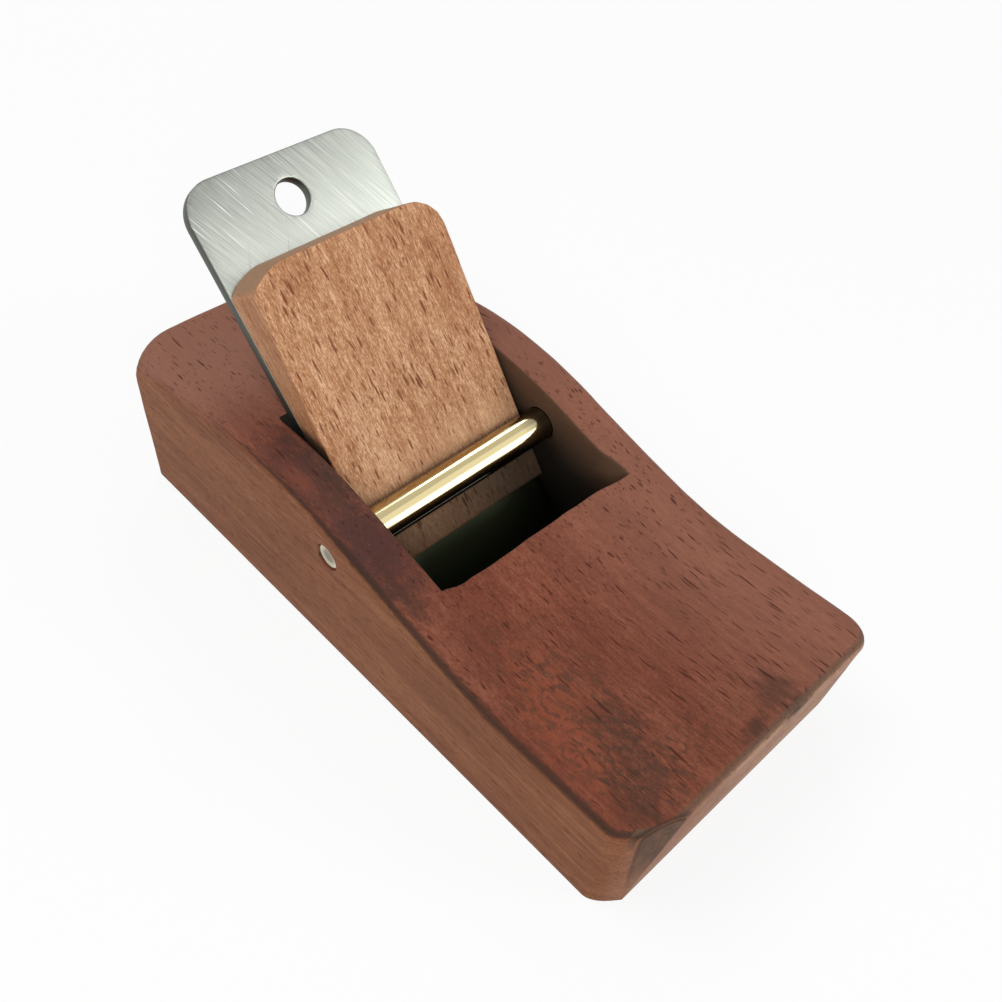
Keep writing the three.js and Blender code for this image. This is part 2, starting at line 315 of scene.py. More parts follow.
def term_sum(operation, swapped=False):
    """One of a Term's own operators. Swapped puts the other value first."""
    def made(self, other):
        values = (other, self) if swapped else (self, other)
        return calc(self.tree, operation, *values)

    return made


class Term:
    """A number in a node tree, so that a rule can be written as a sum."""

    def __init__(self, tree, socket):
        self.tree = tree
        self.socket = socket

    __add__ = term_sum("ADD")
    __radd__ = term_sum("ADD", swapped=True)
    __sub__ = term_sum("SUBTRACT")
    __rsub__ = term_sum("SUBTRACT", swapped=True)
    __mul__ = term_sum("MULTIPLY")
    __rmul__ = term_sum("MULTIPLY", swapped=True)
    __truediv__ = term_sum("DIVIDE")


def plug(tree, socket, value):
    """Feeds a socket from a Term, a socket or a plain value."""
    if isinstance(value, Term):
        tree.links.new(value.socket, socket)
    elif isinstance(value, bpy.types.NodeSocket):
        tree.links.new(value, socket)
    else:
        socket.default_value = value


def add_node(tree, kind, inputs=(), **settings):
    """A new node with its settings and its inputs, given by name or place."""
    node = tree.nodes.new(kind)
    for name, value in settings.items():
        setattr(node, name, value)
    for key, value in dict(inputs).items():
        plug(tree, node.inputs[key], value)
    return node


def calc(tree, operation, *values):
    """One sum of a rule."""
    node = add_node(tree, "ShaderNodeMath", enumerate(values), operation=operation)
    return Term(tree, node.outputs["Value"])


def ramp(value, low, high, start=0.0, end=1.0, smooth=False):
    """Runs from start to end while value runs from low to high, and stops there."""
    kind = "SMOOTHSTEP" if smooth else "LINEAR"
    inputs = {"Value": value, "From Min": low, "From Max": high, "To Min": start, "To Max": end}
    node = add_node(value.tree, "ShaderNodeMapRange", inputs, interpolation_type=kind)
    return Term(value.tree, node.outputs["Result"])


def ease(value, low, high):
    """A smooth step from nothing to one, of a Term or of a plain number."""
    if isinstance(value, Term):
        return ramp(value, low, high, smooth=True)
    step = min(1.0, max(0.0, (value - low) / (high - low)))
    return step * step * (3.0 - 2.0 * step)


def split(tree, vector):
    """The three Terms of a vector."""
    node = add_node(tree, "ShaderNodeSeparateXYZ", {0: vector})
    return [Term(tree, output) for output in node.outputs]


def join(tree, x, y, z):
    """A vector of three Terms."""
    return add_node(tree, "ShaderNodeCombineXYZ", {0: x, 1: y, 2: z}).outputs[0]


# Body: the rule of its shape, as a node tree

BODY_RULE_INPUTS = (
    "body_length", "body_width", "hump_height", "heel_drop", "heel_dip", "palm_drop", "toe_rise",
    "toe_lean", "toe_crown", "top_crown", "far_sag", "dip_share", "hump_share", "palm_share",
    "arris_radius", "heel_corner", "heel_corner_length", "heel_edge", "toe_edge", "near_corner",
    "near_corner_length", "near_upright", "far_corner", "far_corner_length", "mouth_from_toe",
    "throat_width", "bed_foot", "bed_angle", "front_angle", "bore_radius", "bore_mouth", "bore_lip",
    "bore_x", "bore_z",
)
EDGE_STEPS = 4
DENSER_AHEAD = 1.6
NEAR_GROWTH = 1.9
FAR_GROWTH = 2.8
FAR_FOOT_SHARE = 0.45
# Places ahead of the pin where the far arris sags most, sags less and no more
SAG_FULL = 9.0
SAG_WANES = 22.0
SAG_GONE = 34.0
SAG_ACROSS = 0.2
WELD = 0.0005
CUT_BELOW = 0.5
CUT_PAST = 6.0
BORE_FACES = 72


def rule_inputs(tree, names):
    """Named inputs of a node tree, as Terms."""
    for name in names:
        label = name.replace("_", " ").capitalize()
        tree.interface.new_socket(label, in_out="INPUT", socket_type="NodeSocketFloat")
    group = tree.nodes.new("NodeGroupInput")
    return SimpleNamespace(**{
        name: Term(tree, group.outputs[i]) for i, name in enumerate(names)
    })


def crest_height(size, x):
    """Height of the top at a place along the body: heel, dip, hump, low palm and toe."""
    place = x / size.body_length + 0.5
    heel_height = size.hump_height - size.heel_drop
    dip = size.heel_dip * ease(place, 0.0, size.dip_share)
    hump = (size.heel_dip + size.heel_drop) * ease(place, size.dip_share, size.hump_share)
    palm = size.palm_drop * ease(place, size.hump_share, size.palm_share)
    toe = size.toe_rise * ease(place, size.palm_share, 1.0)
    return heel_height - dip + hump - palm + toe


def quarter(turn):
    """The sine and cosine of a share of a quarter turn."""
    angle_term = turn * (math.pi / 2)
    return calc(turn.tree, "SINE", angle_term), calc(turn.tree, "COSINE", angle_term)


def corner_draw(size, x, width, length, growth):
    """How far a toe corner draws the side in: slowly at first, then ever more."""
    past = calc(x.tree, "MAXIMUM", (x - size.toe_x + length) / length, 0.0)
    return width * calc(x.tree, "POWER", past, growth)


def along_rule(size, ring, long_steps):
    """Where a ring lies along the body, and how far the edges of both ends draw it in."""
    start = 1.0 + EDGE_STEPS
    end = start + long_steps
    heel_sin, heel_cos = quarter(ramp(ring, 1.0, start))
    toe_sin, toe_cos = quarter(ramp(ring, end, end + EDGE_STEPS))
    run = size.toe_x - size.heel_x - size.heel_edge - size.toe_edge
    ahead = 1.0 - calc(ring.tree, "POWER", ramp(ring, start, end, 1.0, 0.0), DENSER_AHEAD)
    x = size.heel_x + size.heel_edge * (1.0 - heel_cos) + run * ahead + size.toe_edge * toe_sin
    return x, size.heel_edge * (1.0 - heel_sin), size.toe_edge * (1.0 - toe_cos)


def settle_rule(size, x, y, z, lean, nearness, face_top):
    """Crowns the top and the toe, lets the far arris sag and leans the toe face out."""
    sideways = y * 2.0 / size.body_width
    sides = sideways * sideways
    sag = ease(sideways, SAG_ACROSS, 1.0) * ease(x, size.bore_x, size.bore_x + SAG_FULL)
    sag_ends = (size.bore_x + SAG_WANES, size.bore_x + SAG_GONE)
    sag = sag * ramp(x, *sag_ends, 1.0, 0.0, smooth=True)
    z = z - (size.top_crown * sides + size.far_sag * sag) * z / size.hump_height
    high = calc(z.tree, "MINIMUM", z / face_top, 1.0)
    x = x + lean * high - size.toe_crown * nearness * nearness * sides * (1.0 - high)
    return join(x.tree, x, y, z)


def stock_rule(tree, size, long_steps, arc_steps):
    """The body before it is cut: rings of points from the heel to the toe."""
    rings = long_steps + 2 * EDGE_STEPS + 3
    around = 2 * arc_steps + 5
    inputs = {"Size X": 1.0, "Size Y": 1.0, "Vertices X": rings, "Vertices Y": around}
    grid = add_node(tree, "GeometryNodeMeshGrid", inputs)
    across, along, _ = split(tree, tree.nodes.new("GeometryNodeInputPosition").outputs[0])
    ring = (across + 0.5) * (rings - 1.0)
    point = (along + 0.5) * (around - 1.0)

    x, heel_draw, toe_draw = along_rule(size, ring, long_steps)
    nearness = ramp(x, size.toe_x - size.mouth_from_toe, size.toe_x)
    lean = size.toe_lean * nearness * nearness
    top = crest_height(size, x + lean) - heel_draw - toe_draw
    from_heel = ease(x, size.heel_x, size.heel_x + size.heel_corner_length)
    radius = size.heel_corner + (size.arris_radius - size.heel_corner) * from_heel

    near_top = 2.0 + arc_steps
    far_top = near_top + 1.0
    far_side = far_top + arc_steps
    near_sin, near_cos = quarter(ramp(point, 2.0, near_top))
    far_sin, far_cos = quarter(ramp(point, far_top, far_side))
    wall = top - radius
    z = (wall * ramp(point, 1.0, 2.0) + radius * near_sin - radius * (1.0 - far_cos)
         - wall * ramp(point, far_side, far_side + 1.0))

    face_top = size.hump_height - size.palm_drop + size.toe_rise - size.toe_edge
    high = calc(tree, "MINIMUM", z / face_top, 1.0)
    half = size.body_width * 0.5 - heel_draw
    near_x = x + lean * size.near_upright * high
    near = half - corner_draw(
        size, near_x, size.near_corner, size.near_corner_length, NEAR_GROWTH)
    far_width = size.far_corner * (FAR_FOOT_SHARE + high * (1.0 - FAR_FOOT_SHARE))
    far = half - corner_draw(size, x, far_width, size.far_corner_length, FAR_GROWTH)
    y = ((near + far) * ramp(point, 0.0, 1.0) - near - radius * (1.0 - near_cos)
         - (near + far - 2.0 * radius) * ramp(point, near_top, far_top) - radius * far_sin)

    closed = ramp(ring, 0.0, 1.0) * ramp(ring, rings - 2.0, rings - 1.0, 1.0, 0.0)
    middle = top * 0.5
    z = middle + (z - middle) * closed
    settled = settle_rule(size, x, y * closed, z, lean, nearness, face_top)
    placed = add_node(tree, "GeometryNodeSetPosition", {
        "Geometry": grid.outputs["Mesh"], "Position": settled,
    })
    merged = add_node(tree, "GeometryNodeMergeByDistance", {
        "Geometry": placed.outputs[0], "Distance": WELD,
    })
    return add_node(tree, "GeometryNodeFlipFaces", {0: merged.outputs[0]}).outputs[0]


def throat_rule(tree, size):
    """The space that the throat takes: bed behind, front wall ahead, both cheeks beside."""
    cube = add_node(tree, "GeometryNodeMeshCube", {"Size": (1.0, 1.0, 1.0)})
    ahead, beside, up = split(tree, tree.nodes.new("GeometryNodeInputPosition").outputs[0])
    z = (size.hump_height + CUT_PAST + CUT_BELOW) * (up + 0.5) - CUT_BELOW
    front_foot = size.toe_x - size.mouth_from_toe
    back = size.bed_foot - z / calc(tree, "TANGENT", size.bed_angle)
    front = front_foot + z * calc(tree, "TANGENT", size.front_angle)
    x = back + (front - back) * (ahead + 0.5)
    placed = add_node(tree, "GeometryNodeSetPosition", {
        "Geometry": cube.outputs["Mesh"], "Position": join(tree, x, beside * size.throat_width, z),
    })
    return placed.outputs[0]


def bore_rule(tree, size, radius, depth):
    """The space that a part of the pin's hole takes, across the body."""
    inputs = {"Vertices": BORE_FACES, "Radius": radius, "Depth": depth}
    rod = add_node(tree, "GeometryNodeMeshCylinder", inputs)
    turned = add_node(tree, "GeometryNodeTransform", {
        "Geometry": rod.outputs["Mesh"],
        "Translation": join(tree, size.bore_x, 0.0, size.bore_z),
        "Rotation": (math.pi / 2, 0.0, 0.0),
    })
    return turned.outputs[0]


def body_tree(long_steps, arc_steps, material):
    """A node tree that makes the body from its named sizes."""
    tree = bpy.data.node_groups.new("Plane body rule", "GeometryNodeTree")
    size = rule_inputs(tree, BODY_RULE_INPUTS)
    size.heel_x = size.body_length * -0.5
    size.toe_x = size.body_length * 0.5 - size.toe_lean
    tree.interface.new_socket("Body", in_out="OUTPUT", socket_type="NodeSocketGeometry")
    cut = tree.nodes.new("GeometryNodeMeshBoolean")
    cut.operation = "DIFFERENCE"
    cut.solver = "EXACT"
    plug(tree, cut.inputs["Mesh 1"], stock_rule(tree, size, long_steps, arc_steps))
    spaces = (
        throat_rule(tree, size),
        bore_rule(tree, size, size.bore_radius, size.body_width - size.bore_lip * 2.0),
        bore_rule(tree, size, size.bore_mouth, size.body_width * 1.5),
    )
    for space in spaces:
        tree.links.new(space, cut.inputs["Mesh 2"])
    whole = add_node(tree, "GeometryNodeRealizeInstances", {0: cut.outputs["Mesh"]})
    painted = add_node(tree, "GeometryNodeSetMaterial", {
        "Geometry": whole.outputs[0], "Material": material,
    })
    out = tree.nodes.new("NodeGroupOutput")
    plug(tree, out.inputs[0], painted.outputs[0])
    return tree


def new_object(name, data):
    """A new object in the scene."""
    made = bpy.data.objects.new(name, data)
    bpy.context.scene.collection.objects.link(made)
    return made


def mesh_from_tree(name, tree, values):
    """Runs a node tree with named values and gives its result as a plain mesh."""
    holder = new_object(name, bpy.data.meshes.new(name))
    modifier = holder.modifiers.new(name, "NODES")
    modifier.node_group = tree
    for item in tree.interface.items_tree:
        if item.item_type == "SOCKET" and item.in_out == "INPUT":
            modifier[item.identifier] = float(values[item.name.lower().replace(" ", "_")])
    depsgraph = bpy.context.evaluated_depsgraph_get()
    mesh = bpy.data.meshes.new_from_object(holder.evaluated_get(depsgraph))
    holder.modifiers.clear()
    bpy.data.objects.remove(holder)
    return mesh


# Mesh work

def quarter_turns(steps):
    """Angles from nothing to a quarter turn."""
    return [math.pi / 2 * i / steps for i in range(steps + 1)]


def soften(bm, edges, radius, steps):
    """Rounds edges off."""
    if edges:
        bmesh.ops.bevel(
            bm, geom=edges, offset=radius, offset_type="OFFSET", segments=steps, profile=0.5,
            affect="EDGES", clamp_overlap=True,
        )


def hold_inside(bm, half_width):
    """Keeps every point between the two sides."""
    for v in bm.verts:
        v.co.y = min(half_width, max(-half_width, v.co.y))


def slice_up(bm, spacing):
    """Cuts every face along a grid of planes, so that it can be shaped and masked."""
    low = [min(v.co[i] for v in bm.verts) for i in range(3)]
    high = [max(v.co[i] for v in bm.verts) for i in range(3)]
    for axis in range(3):
        normal = Vector([1.0 if i == axis else 0.0 for i in range(3)])
        count = int((high[axis] - low[axis]) / spacing)
        for step in range(1, count + 1):
            place = normal * (low[axis] + step * (high[axis] - low[axis]) / (count + 1))
            everything = bm.verts[:] + bm.edges[:] + bm.faces[:]
            bmesh.ops.bisect_plane(bm, geom=everything, plane_co=place, plane_no=normal, dist=1e-4)


def cut_off(bm, place, normal):
    """Cuts away what stands out past a plane, and closes the cut."""
    everything = bm.verts[:] + bm.edges[:] + bm.faces[:]
    cut = bmesh.ops.bisect_plane(
        bm, geom=everything, plane_co=place, plane_no=normal, clear_outer=True, dist=1e-4
    )
    edges = [e for e in cut["geom_cut"] if isinstance(e, bmesh.types.BMEdge)]
    bmesh.ops.contextual_create(bm, geom=edges)


def roughen(bm, amount, scale, seed, moves=lambda co: True):
    """Moves points in a little, smoothly along the surface, where they may move."""
    bm.normal_update()
    shifts = []
    for v in bm.verts:
        wave = noise.fractal(v.co * scale + Vector((seed, 0, 0)), 0.8, 2.0, 3)
        if moves(v.co):
            shifts.append((v, v.normal * -amount * min(1.0, max(0.0, wave + 0.5))))
    for v, shift in shifts:
        v.co += shift


def keep_crisp(mesh, rule):
    """Marks the edges that join two chosen points as sharp."""
    chosen = [rule(v.co) for v in mesh.vertices]
    for edge in mesh.edges:
        if all(chosen[i] for i in edge.vertices):
            edge.use_edge_sharp = True


def paint_mask(mesh, name, rule):
    """Stores a number from 0 to 1 on each face corner, worked out from its place and its normal."""
    layer = mesh.attributes.new(name, "FLOAT", "CORNER")
    places = [v.co for v in mesh.vertices]
    normals = [corner.vector for corner in mesh.corner_normals]
    layer.data.foreach_set("value", [
        min(1.0, max(0.0, rule(places[loop.vertex_index], normals[loop.index])))
        for loop in mesh.loops
    ])


def finish_mesh(bm, name, crease_degrees):
    """Turns a bmesh in millimetres into a smooth-shaded mesh in metres."""
    mesh = bpy.data.meshes.new(name)
    bmesh.ops.dissolve_degenerate(bm, dist=1e-5, edges=bm.edges[:])
    bmesh.ops.recalc_face_normals(bm, faces=bm.faces[:])
    bm.to_mesh(mesh)
    bm.free()
    mesh.shade_smooth()
    mesh.set_sharp_from_angle(angle=math.radians(crease_degrees))
    return mesh


def place_piece(name, mesh, material, body, node):
    """Makes a piece of a finished mesh, and has it ride and stand for its node."""
    mesh.transform(Matrix.Scale(MM, 4))
    mesh.materials.clear()
    mesh.materials.append(material)
    piece = new_object(name, mesh)
    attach(piece, body)
    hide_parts(node)


# Body: cutting, rounding and masks

SLICE = 1.2
ON_FACET = 0.002
RIM_STEPS = 3
SHARP_TURN = 0.4
UPPER_SHARE = 0.6
TOUCHING = 0.01
AHEAD_SLACK = 0.2
BEHIND_SLACK = 0.6
CHEEK_SLACK = 0.15
BAND_LOWEST = 4.0
BAND_TILT = 32.0
BAND_REACH = 12.0
BAND_BEGINS = (-47.0, -42.0)
BAND_WIDENS = (-28.0, 2.0)
BEVEL_BEHIND = 1.5
BEVEL_LOWEST = 12.0
# Depth at which the painted shade in the throat is full
DARK_DEPTH = 11.0


def on_bore(point, body, slack):
    """Whether a point lies on or near the pin's hole."""
    away = math.hypot(point.x - body.bore_x, point.z - body.bore_z)
    return body.bore_mouth - slack < away < body.bore_radius + slack


def clear_ahead(bm, body):
    """Joins the faces of the top that the rounding of the throat's front rim would overrun."""
    wall = mouth_place(body) + crest_height(body, mouth_place(body)) * math.tan(body.front_angle)
    upper = body.hump_height * UPPER_SHARE
    crossing = []
    for edge in bm.edges:
        first, second = edge.verts[0].co, edge.verts[1].co
        spans = first.y * second.y < 0.0 and min(first.z, second.z) > upper
        if spans and TOUCHING < (first.x + second.x) / 2 - wall < body.rim_radius * 1.5:
            crossing.append(edge)
    bmesh.ops.dissolve_edges(bm, edges=crossing, use_verts=False)


def is_arris(edge):
    """Whether an edge is an outward corner."""
    return edge.is_manifold and edge.is_convex and edge.calc_face_angle() > SHARP_TURN


def rim_edges(bm, body, throat_half):
    """The edges where the top meets the cheeks and the front wall."""
    found = []
    for edge in filter(is_arris, bm.edges):
        middle = (edge.verts[0].co + edge.verts[1].co) / 2
        bed = body.bed_foot - middle.z / math.tan(body.bed_angle)
        upper = middle.z > body.hump_height * UPPER_SHARE
        inside = abs(middle.y) < throat_half + TOUCHING and middle.x > bed + 0.05
        if upper and inside and not on_bore(middle, body, 1.0):
            found.append(edge)
    return found


def sole_edges(bm):
    """The edges round the sole and the mouth."""
    low = [edge for edge in bm.edges if all(abs(v.co.z) < TOUCHING for v in edge.verts)]
    return [edge for edge in low if is_arris(edge)]


def body_values(context):
    """The body's sizes in millimetres, with those that the other pieces set."""
    body = millimetres(context.scene.plane_body_sizes)
    blade = millimetres(context.scene.plane_blade_sizes)
    wedge = millimetres(context.scene.plane_wedge_sizes)
    pin = millimetres(context.scene.plane_pin_sizes)
    body.throat_width = wedge.wedge_width + 2 * body.throat_side
    body.bed_foot = blade_foot(body) - (blade.thickness + wedge.seat) / math.sin(body.bed_angle)
    body.bore_radius = pin.radius + body.pin_gap
    body.bore_x = (PIN_LOW[0] + PIN_HIGH[0]) / 2 / MM
    body.bore_z = (PIN_LOW[2] + PIN_HIGH[2]) / 2 / MM
    return body


def facet_distance(x, y, z, body):
    """How far a place stands out past the plane of the chiselled corner facet, along X."""
    return x - y * body.facet_turn - z * body.facet_lean - body.facet_reach


def chisel_facet(bm, body):
    """Cuts the near toe corner off along its facet's plane."""
    normal = Vector((1.0, -body.facet_turn, -body.facet_lean)).normalized()
    cut_off(bm, (body.facet_reach, 0.0, 0.0), normal)


# From full wear of the front rim to none: down the wall, ahead of it and past its ends
WEAR_DOWN = (0.3, 5.0)
WEAR_AHEAD = (0.4, 4.5)
WEAR_ASIDE = (0.4, 3.0)
WEAR_WAVE = 0.25
# In from the wall's ends: where the far corner's wear begins and is full, and the near end's is
FAR_WEAR = (5.0, 1.5)
NEAR_WEAR = 3.0
# From the front wall back into the throat: where the wear forward and the wear aside fade in
WEARS_FORWARD = (-1.0, -0.1)
WEARS_ASIDE = (-4.0, 0.0)
CORNER_ASIDE = 0.3


def rim_wear(co, body, throat_half):
    """How far wear has moved a point near the rim of the throat's front wall."""
    ahead = co.x - mouth_place(body) - co.z * math.tan(body.front_angle)
    depth = crest_height(body, co.x) - co.z
    nearby = (1.0 - ease(depth, *WEAR_DOWN)) * (1.0 - ease(ahead, *WEAR_AHEAD))
    nearby *= 1.0 - ease(abs(co.y) - throat_half, *WEAR_ASIDE)
    wave = 1.0 + WEAR_WAVE * noise.noise(Vector((0.0, co.y * 0.3, 7.0)))
    far = ease(co.y, throat_half - FAR_WEAR[0], throat_half - FAR_WEAR[1])
    forward = body.front_wear * wave * ease(co.y, -throat_half, NEAR_WEAR - throat_half)
    forward = (forward + body.corner_wear * far) * ease(ahead, *WEARS_FORWARD)
    aside = (body.front_wear + body.corner_wear * CORNER_ASIDE) * far * ease(ahead, *WEARS_ASIDE)
    return Vector((forward, aside, 0.0)) * nearby


def wear_rim(mesh, body, throat_half):
    """Wears the rim of the throat's front wall, along the top's own curve."""
    for v in mesh.vertices:
        shift = rim_wear(v.co, body, throat_half)
        if shift.length > 1e-4:
            fall = crest_height(body, v.co.x + shift.x) - crest_height(body, v.co.x)
            v.co += shift + Vector((0.0, 0.0, fall))


def in_throat(co, body, throat_half):
    """Whether a point lies in the throat or on its walls."""
    ahead = mouth_place(body) + co.z * math.tan(body.front_angle) + AHEAD_SLACK
    behind = body.bed_foot - co.z / math.tan(body.bed_angle) - BEHIND_SLACK
    return abs(co.y) < throat_half + CHEEK_SLACK and behind < co.x < ahead


def body_masks(mesh, body, throat_half):
    """Masks for the top, the arrises, the end grain and the throat's walls, where painted shade
    deepens with depth.
    """
    def near_band(co, normal):
        round_toe = normal.x > 0.7 and co.y > -18.0
        if co.y > 0.0 or co.z < BAND_LOWEST or in_throat(co, body, throat_half) or round_toe:
            return 0.0
        tilt = math.degrees(math.asin(min(1.0, abs(normal.z))))
        forward = ease(co.x, *BAND_WIDENS)
        reach = BAND_REACH + 2.0 * BAND_REACH * forward
        strength = ease(co.x, *BAND_BEGINS) * (0.7 + 0.3 * forward)
        return strength * (1.0 - ease(abs(tilt - BAND_TILT), 0.0, reach))

    def toe_bevel(co, normal):
        top_edge = body.body_length / 2 - body.toe_edge - BEVEL_BEHIND
        high = co.x > top_edge and co.z > BEVEL_LOWEST
        return ease(normal.x, 0.12, 0.5) * ease(normal.z, 0.2, 0.5) if high else 0.0

    def wall(co, normal):
        on_wall = in_throat(co, body, throat_half) and normal.z > -0.5
        return 1.0 - ease(normal.z, 0.72, 0.95) if on_wall else 0.0

    # Painted shade: darker deeper in the throat, and fully dark on the bed behind the blade
    def deep(co, normal):
        depth = crest_height(body, co.x) - co.z
        bed = ease(normal.x, 0.3, 0.6)
        return wall(co, normal) * max(bed, ease(depth, 0.0, DARK_DEPTH))

    paint_mask(mesh, "top", lambda co, normal: ease(normal.z, 0.15, 0.55))
    paint_mask(mesh, "end", lambda co, normal: ease(abs(normal.x), 0.6, 0.9))
    paint_mask(mesh, "band", near_band)
    paint_mask(mesh, "bevel", toe_bevel)
    paint_mask(mesh, "wall", wall)
    paint_mask(mesh, "deep", deep)


class OBJECT_OT_plane_body(bpy.types.Operator):
    """Make the wooden body, with its throat, bed, mouth and pin hole"""

    bl_idname = "object.plane_body"
    bl_label = "Make the body"

    def execute(self, context):
        body = body_values(context)
        material = body_wood(context.scene.plane_finish, body)
        tree = body_tree(body.long_steps, body.arc_steps, material)
        rough = mesh_from_tree("body_stock", tree, vars(body))
        bm = bmesh.new()
        bm.from_mesh(rough)
        bpy.data.meshes.remove(rough)
        bmesh.ops.remove_doubles(bm, verts=bm.verts[:], dist=2 * WELD)
        bmesh.ops.recalc_face_normals(bm, faces=bm.faces[:])
        half = body.throat_width / 2
        clear_ahead(bm, body)
        soften(bm, rim_edges(bm, body, half), body.rim_radius, RIM_STEPS)
        soften(bm, sole_edges(bm), body.sole_edge, steps=2)
        hold_inside(bm, body.body_width / 2)
        slice_up(bm, SLICE)
        roughen(
            bm, body.unevenness, scale=0.12, seed=3.0,
            moves=lambda co: co.z > body.sole_edge and not on_bore(co, body, 0.1),
        )
        chisel_facet(bm, body)
        mesh = finish_mesh(bm, "wood_body", crease_degrees=40.0)
        keep_crisp(mesh, lambda co: abs(facet_distance(*co, body)) < ON_FACET)
        body_masks(mesh, body, half)
        wear_rim(mesh, body, half)
        place_piece("wood_body", mesh, material, "plane", "plane_body")
        return {"FINISHED"}


# Blade

ARC_POINTS = 20
HOLE_POINTS = 64
# Where the painted shade on the blade's foot fades in, and how much less it is on the near side
FOOT_FADE = 3.0
FOOT_ACROSS = (-14.5, -8.5)
FOOT_NEAR = 0.62


def blade_outline(blade, inset):
    """The blade's outline seen square on, drawn in by an inset, on the slope's X and Y."""
    half = blade.blade_width / 2 - inset
    top = -blade.retract - blade.blade_length + inset
    foot = -blade.retract
    radius = blade.corner - inset
    points = [(foot, -half), (foot, half)]
    for side in (1, -1):
        centre = Vector((top + radius, side * (half - radius)))
        for turn in quarter_turns(ARC_POINTS)[::side]:
            beside = centre.y + side * radius * math.cos(turn)
            points.append((centre.x - radius * math.sin(turn), beside))
    return points


def hole_outline(blade, inset):
    """The hole's outline, widened by an inset."""
    centre = -blade.retract - blade.blade_length + blade.hole_inset
    radius = blade.hole + inset
    turns = [2 * math.pi * i / HOLE_POINTS for i in range(HOLE_POINTS)]
    return [(centre + radius * math.cos(t), radius * math.sin(t)) for t in turns]


def edge_rounding(depth, radius, steps):
    """Insets and levels down a rounded edge, a wall and a rounded edge again."""
    turns = quarter_turns(steps)
    upper = [(radius * (1 - math.sin(t)), -radius * (1 - math.cos(t))) for t in turns]
    lower = [(inset, -depth - level) for inset, level in reversed(upper)]
    return upper + lower


def wall_between(bm, rings):
    """Faces between rings of points, one after another."""
    for upper, lower in zip(rings, rings[1:]):
        for i in range(len(upper)):
            j = (i + 1) % len(upper)
            bm.faces.new((upper[i], upper[j], lower[j], lower[i]))


def cap_with_hole(bm, outer, inner):
    """A flat face with a hole in it."""
    edges = []
    for ring in (outer, inner):
        for i, vert in enumerate(ring):
            after = ring[(i + 1) % len(ring)]
            edges.append(bm.edges.get((vert, after)) or bm.edges.new((vert, after)))
    bmesh.ops.triangle_fill(bm, use_beauty=True, use_dissolve=False, edges=edges)


def blade_blank(bm, blade):
    """The blade before its bevel is ground: a plate with rounded corners and a hole."""
    rings = {"outer": [], "hole": []}
    for inset, level in edge_rounding(blade.thickness, blade.softening, steps=3):
        for name, outline in (("outer", blade_outline), ("hole", hole_outline)):
            rings[name].append([bm.verts.new((x, y, level)) for x, y in outline(blade, inset)])
    wall_between(bm, rings["outer"])
    wall_between(bm, rings["hole"])
    cap_with_hole(bm, rings["outer"][0], rings["hole"][0])
    cap_with_hole(bm, rings["outer"][-1], rings["hole"][-1])


def grind_bevel(bm, blade):
    """Cuts the bevel on the blade's back, down to a thin edge."""
    normal = Vector((math.sin(blade.bevel), 0.0, -math.cos(blade.bevel)))
    cut_off(bm, (-blade.retract, 0.0, -blade.edge_land), normal)


def blade_masks(mesh, foot_start):
    """Masks for the blade's narrow sides and its foot in the throat, where shade is painted."""
    # Painted shade: near black past the wedge's tip, a little less on the near side
    def foot(co, normal):
        near = FOOT_NEAR + (1.0 - FOOT_NEAR) * ease(co.y, *FOOT_ACROSS)
        return ease(co.x, foot_start - FOOT_FADE, foot_start) * near

    # Painted shade on the narrow sides, for the dark gaps beside the blade
    paint_mask(mesh, "wall", lambda co, normal: 1.0 - ease(abs(normal.z), 0.5, 0.95))
    paint_mask(mesh, "foot", foot)


class OBJECT_OT_plane_blade(bpy.types.Operator):
    """Make the steel blade, with its rounded corners, hole and ground bevel"""

    bl_idname = "object.plane_blade"
    bl_label = "Make the blade"

    def execute(self, context):
        body = body_values(context)
        blade = millimetres(context.scene.plane_blade_sizes)
        wedge = millimetres(context.scene.plane_wedge_sizes)
        bm = bmesh.new()
        blade_blank(bm, blade)
        bmesh.ops.recalc_face_normals(bm, faces=bm.faces[:])
        grind_bevel(bm, blade)
        slice_up(bm, SLICE)
        mesh = finish_mesh(bm, "steel_blade", crease_degrees=25.0)
        blade_masks(mesh, pin_on_slope(body) + wedge.past_pin)
        mesh.transform(slope_matrix(body))
        material = blade_steel(context.scene.plane_finish, body)
        place_piece("steel_blade", mesh, material, "iron", "blade")
        return {"FINISHED"}


# Wedge

CLIP_POINTS = 4
NEAR_FLATNESS = 1.4
# Sizes of the painted contact shadow above the pin and of the painted shadow below it
TOUCH_BEFORE_PIN = 2.1
SHADE_FADE = 1.5
SHADE_ACROSS = (-13.0, 12.0)
LINE_FADE = 0.35
LINE_ENDS = (0.4, 1.0)


def wedge_corners(wedge, pin_place):
    """The wedge's corner points on the slope."""
    half = wedge.wedge_width / 2
    tip = pin_place + wedge.past_pin
    end = tip - wedge.wedge_length
    seat = wedge.seat

    def height(x):
        return seat + wedge.tip + (tip - x) * math.tan(wedge.taper)

    corners = []
    clips = (
        (-1, wedge.near_length, wedge.near_width, NEAR_FLATNESS),
        (1, wedge.far_length, wedge.far_width, 1.0),
    )
    for side, clip_length, clip_width, flatness in clips:
        corners += [(tip, side * half, seat), (tip, side * half, height(tip))]
        for turn in quarter_turns(CLIP_POINTS):
            x = end + clip_length * (1 - math.sin(turn) ** flatness)
            y = side * (half - clip_width * (1 - max(0.0, math.cos(turn)) ** flatness))
            corners += [(x, y, seat), (x + wedge.end_bevel, y, height(x + wedge.end_bevel))]
    return corners


def pin_on_slope(body):
    """The pin's place along the slope."""
    return (slope_matrix(body).inverted() @ Vector((body.bore_x, 0.0, body.bore_z))).x


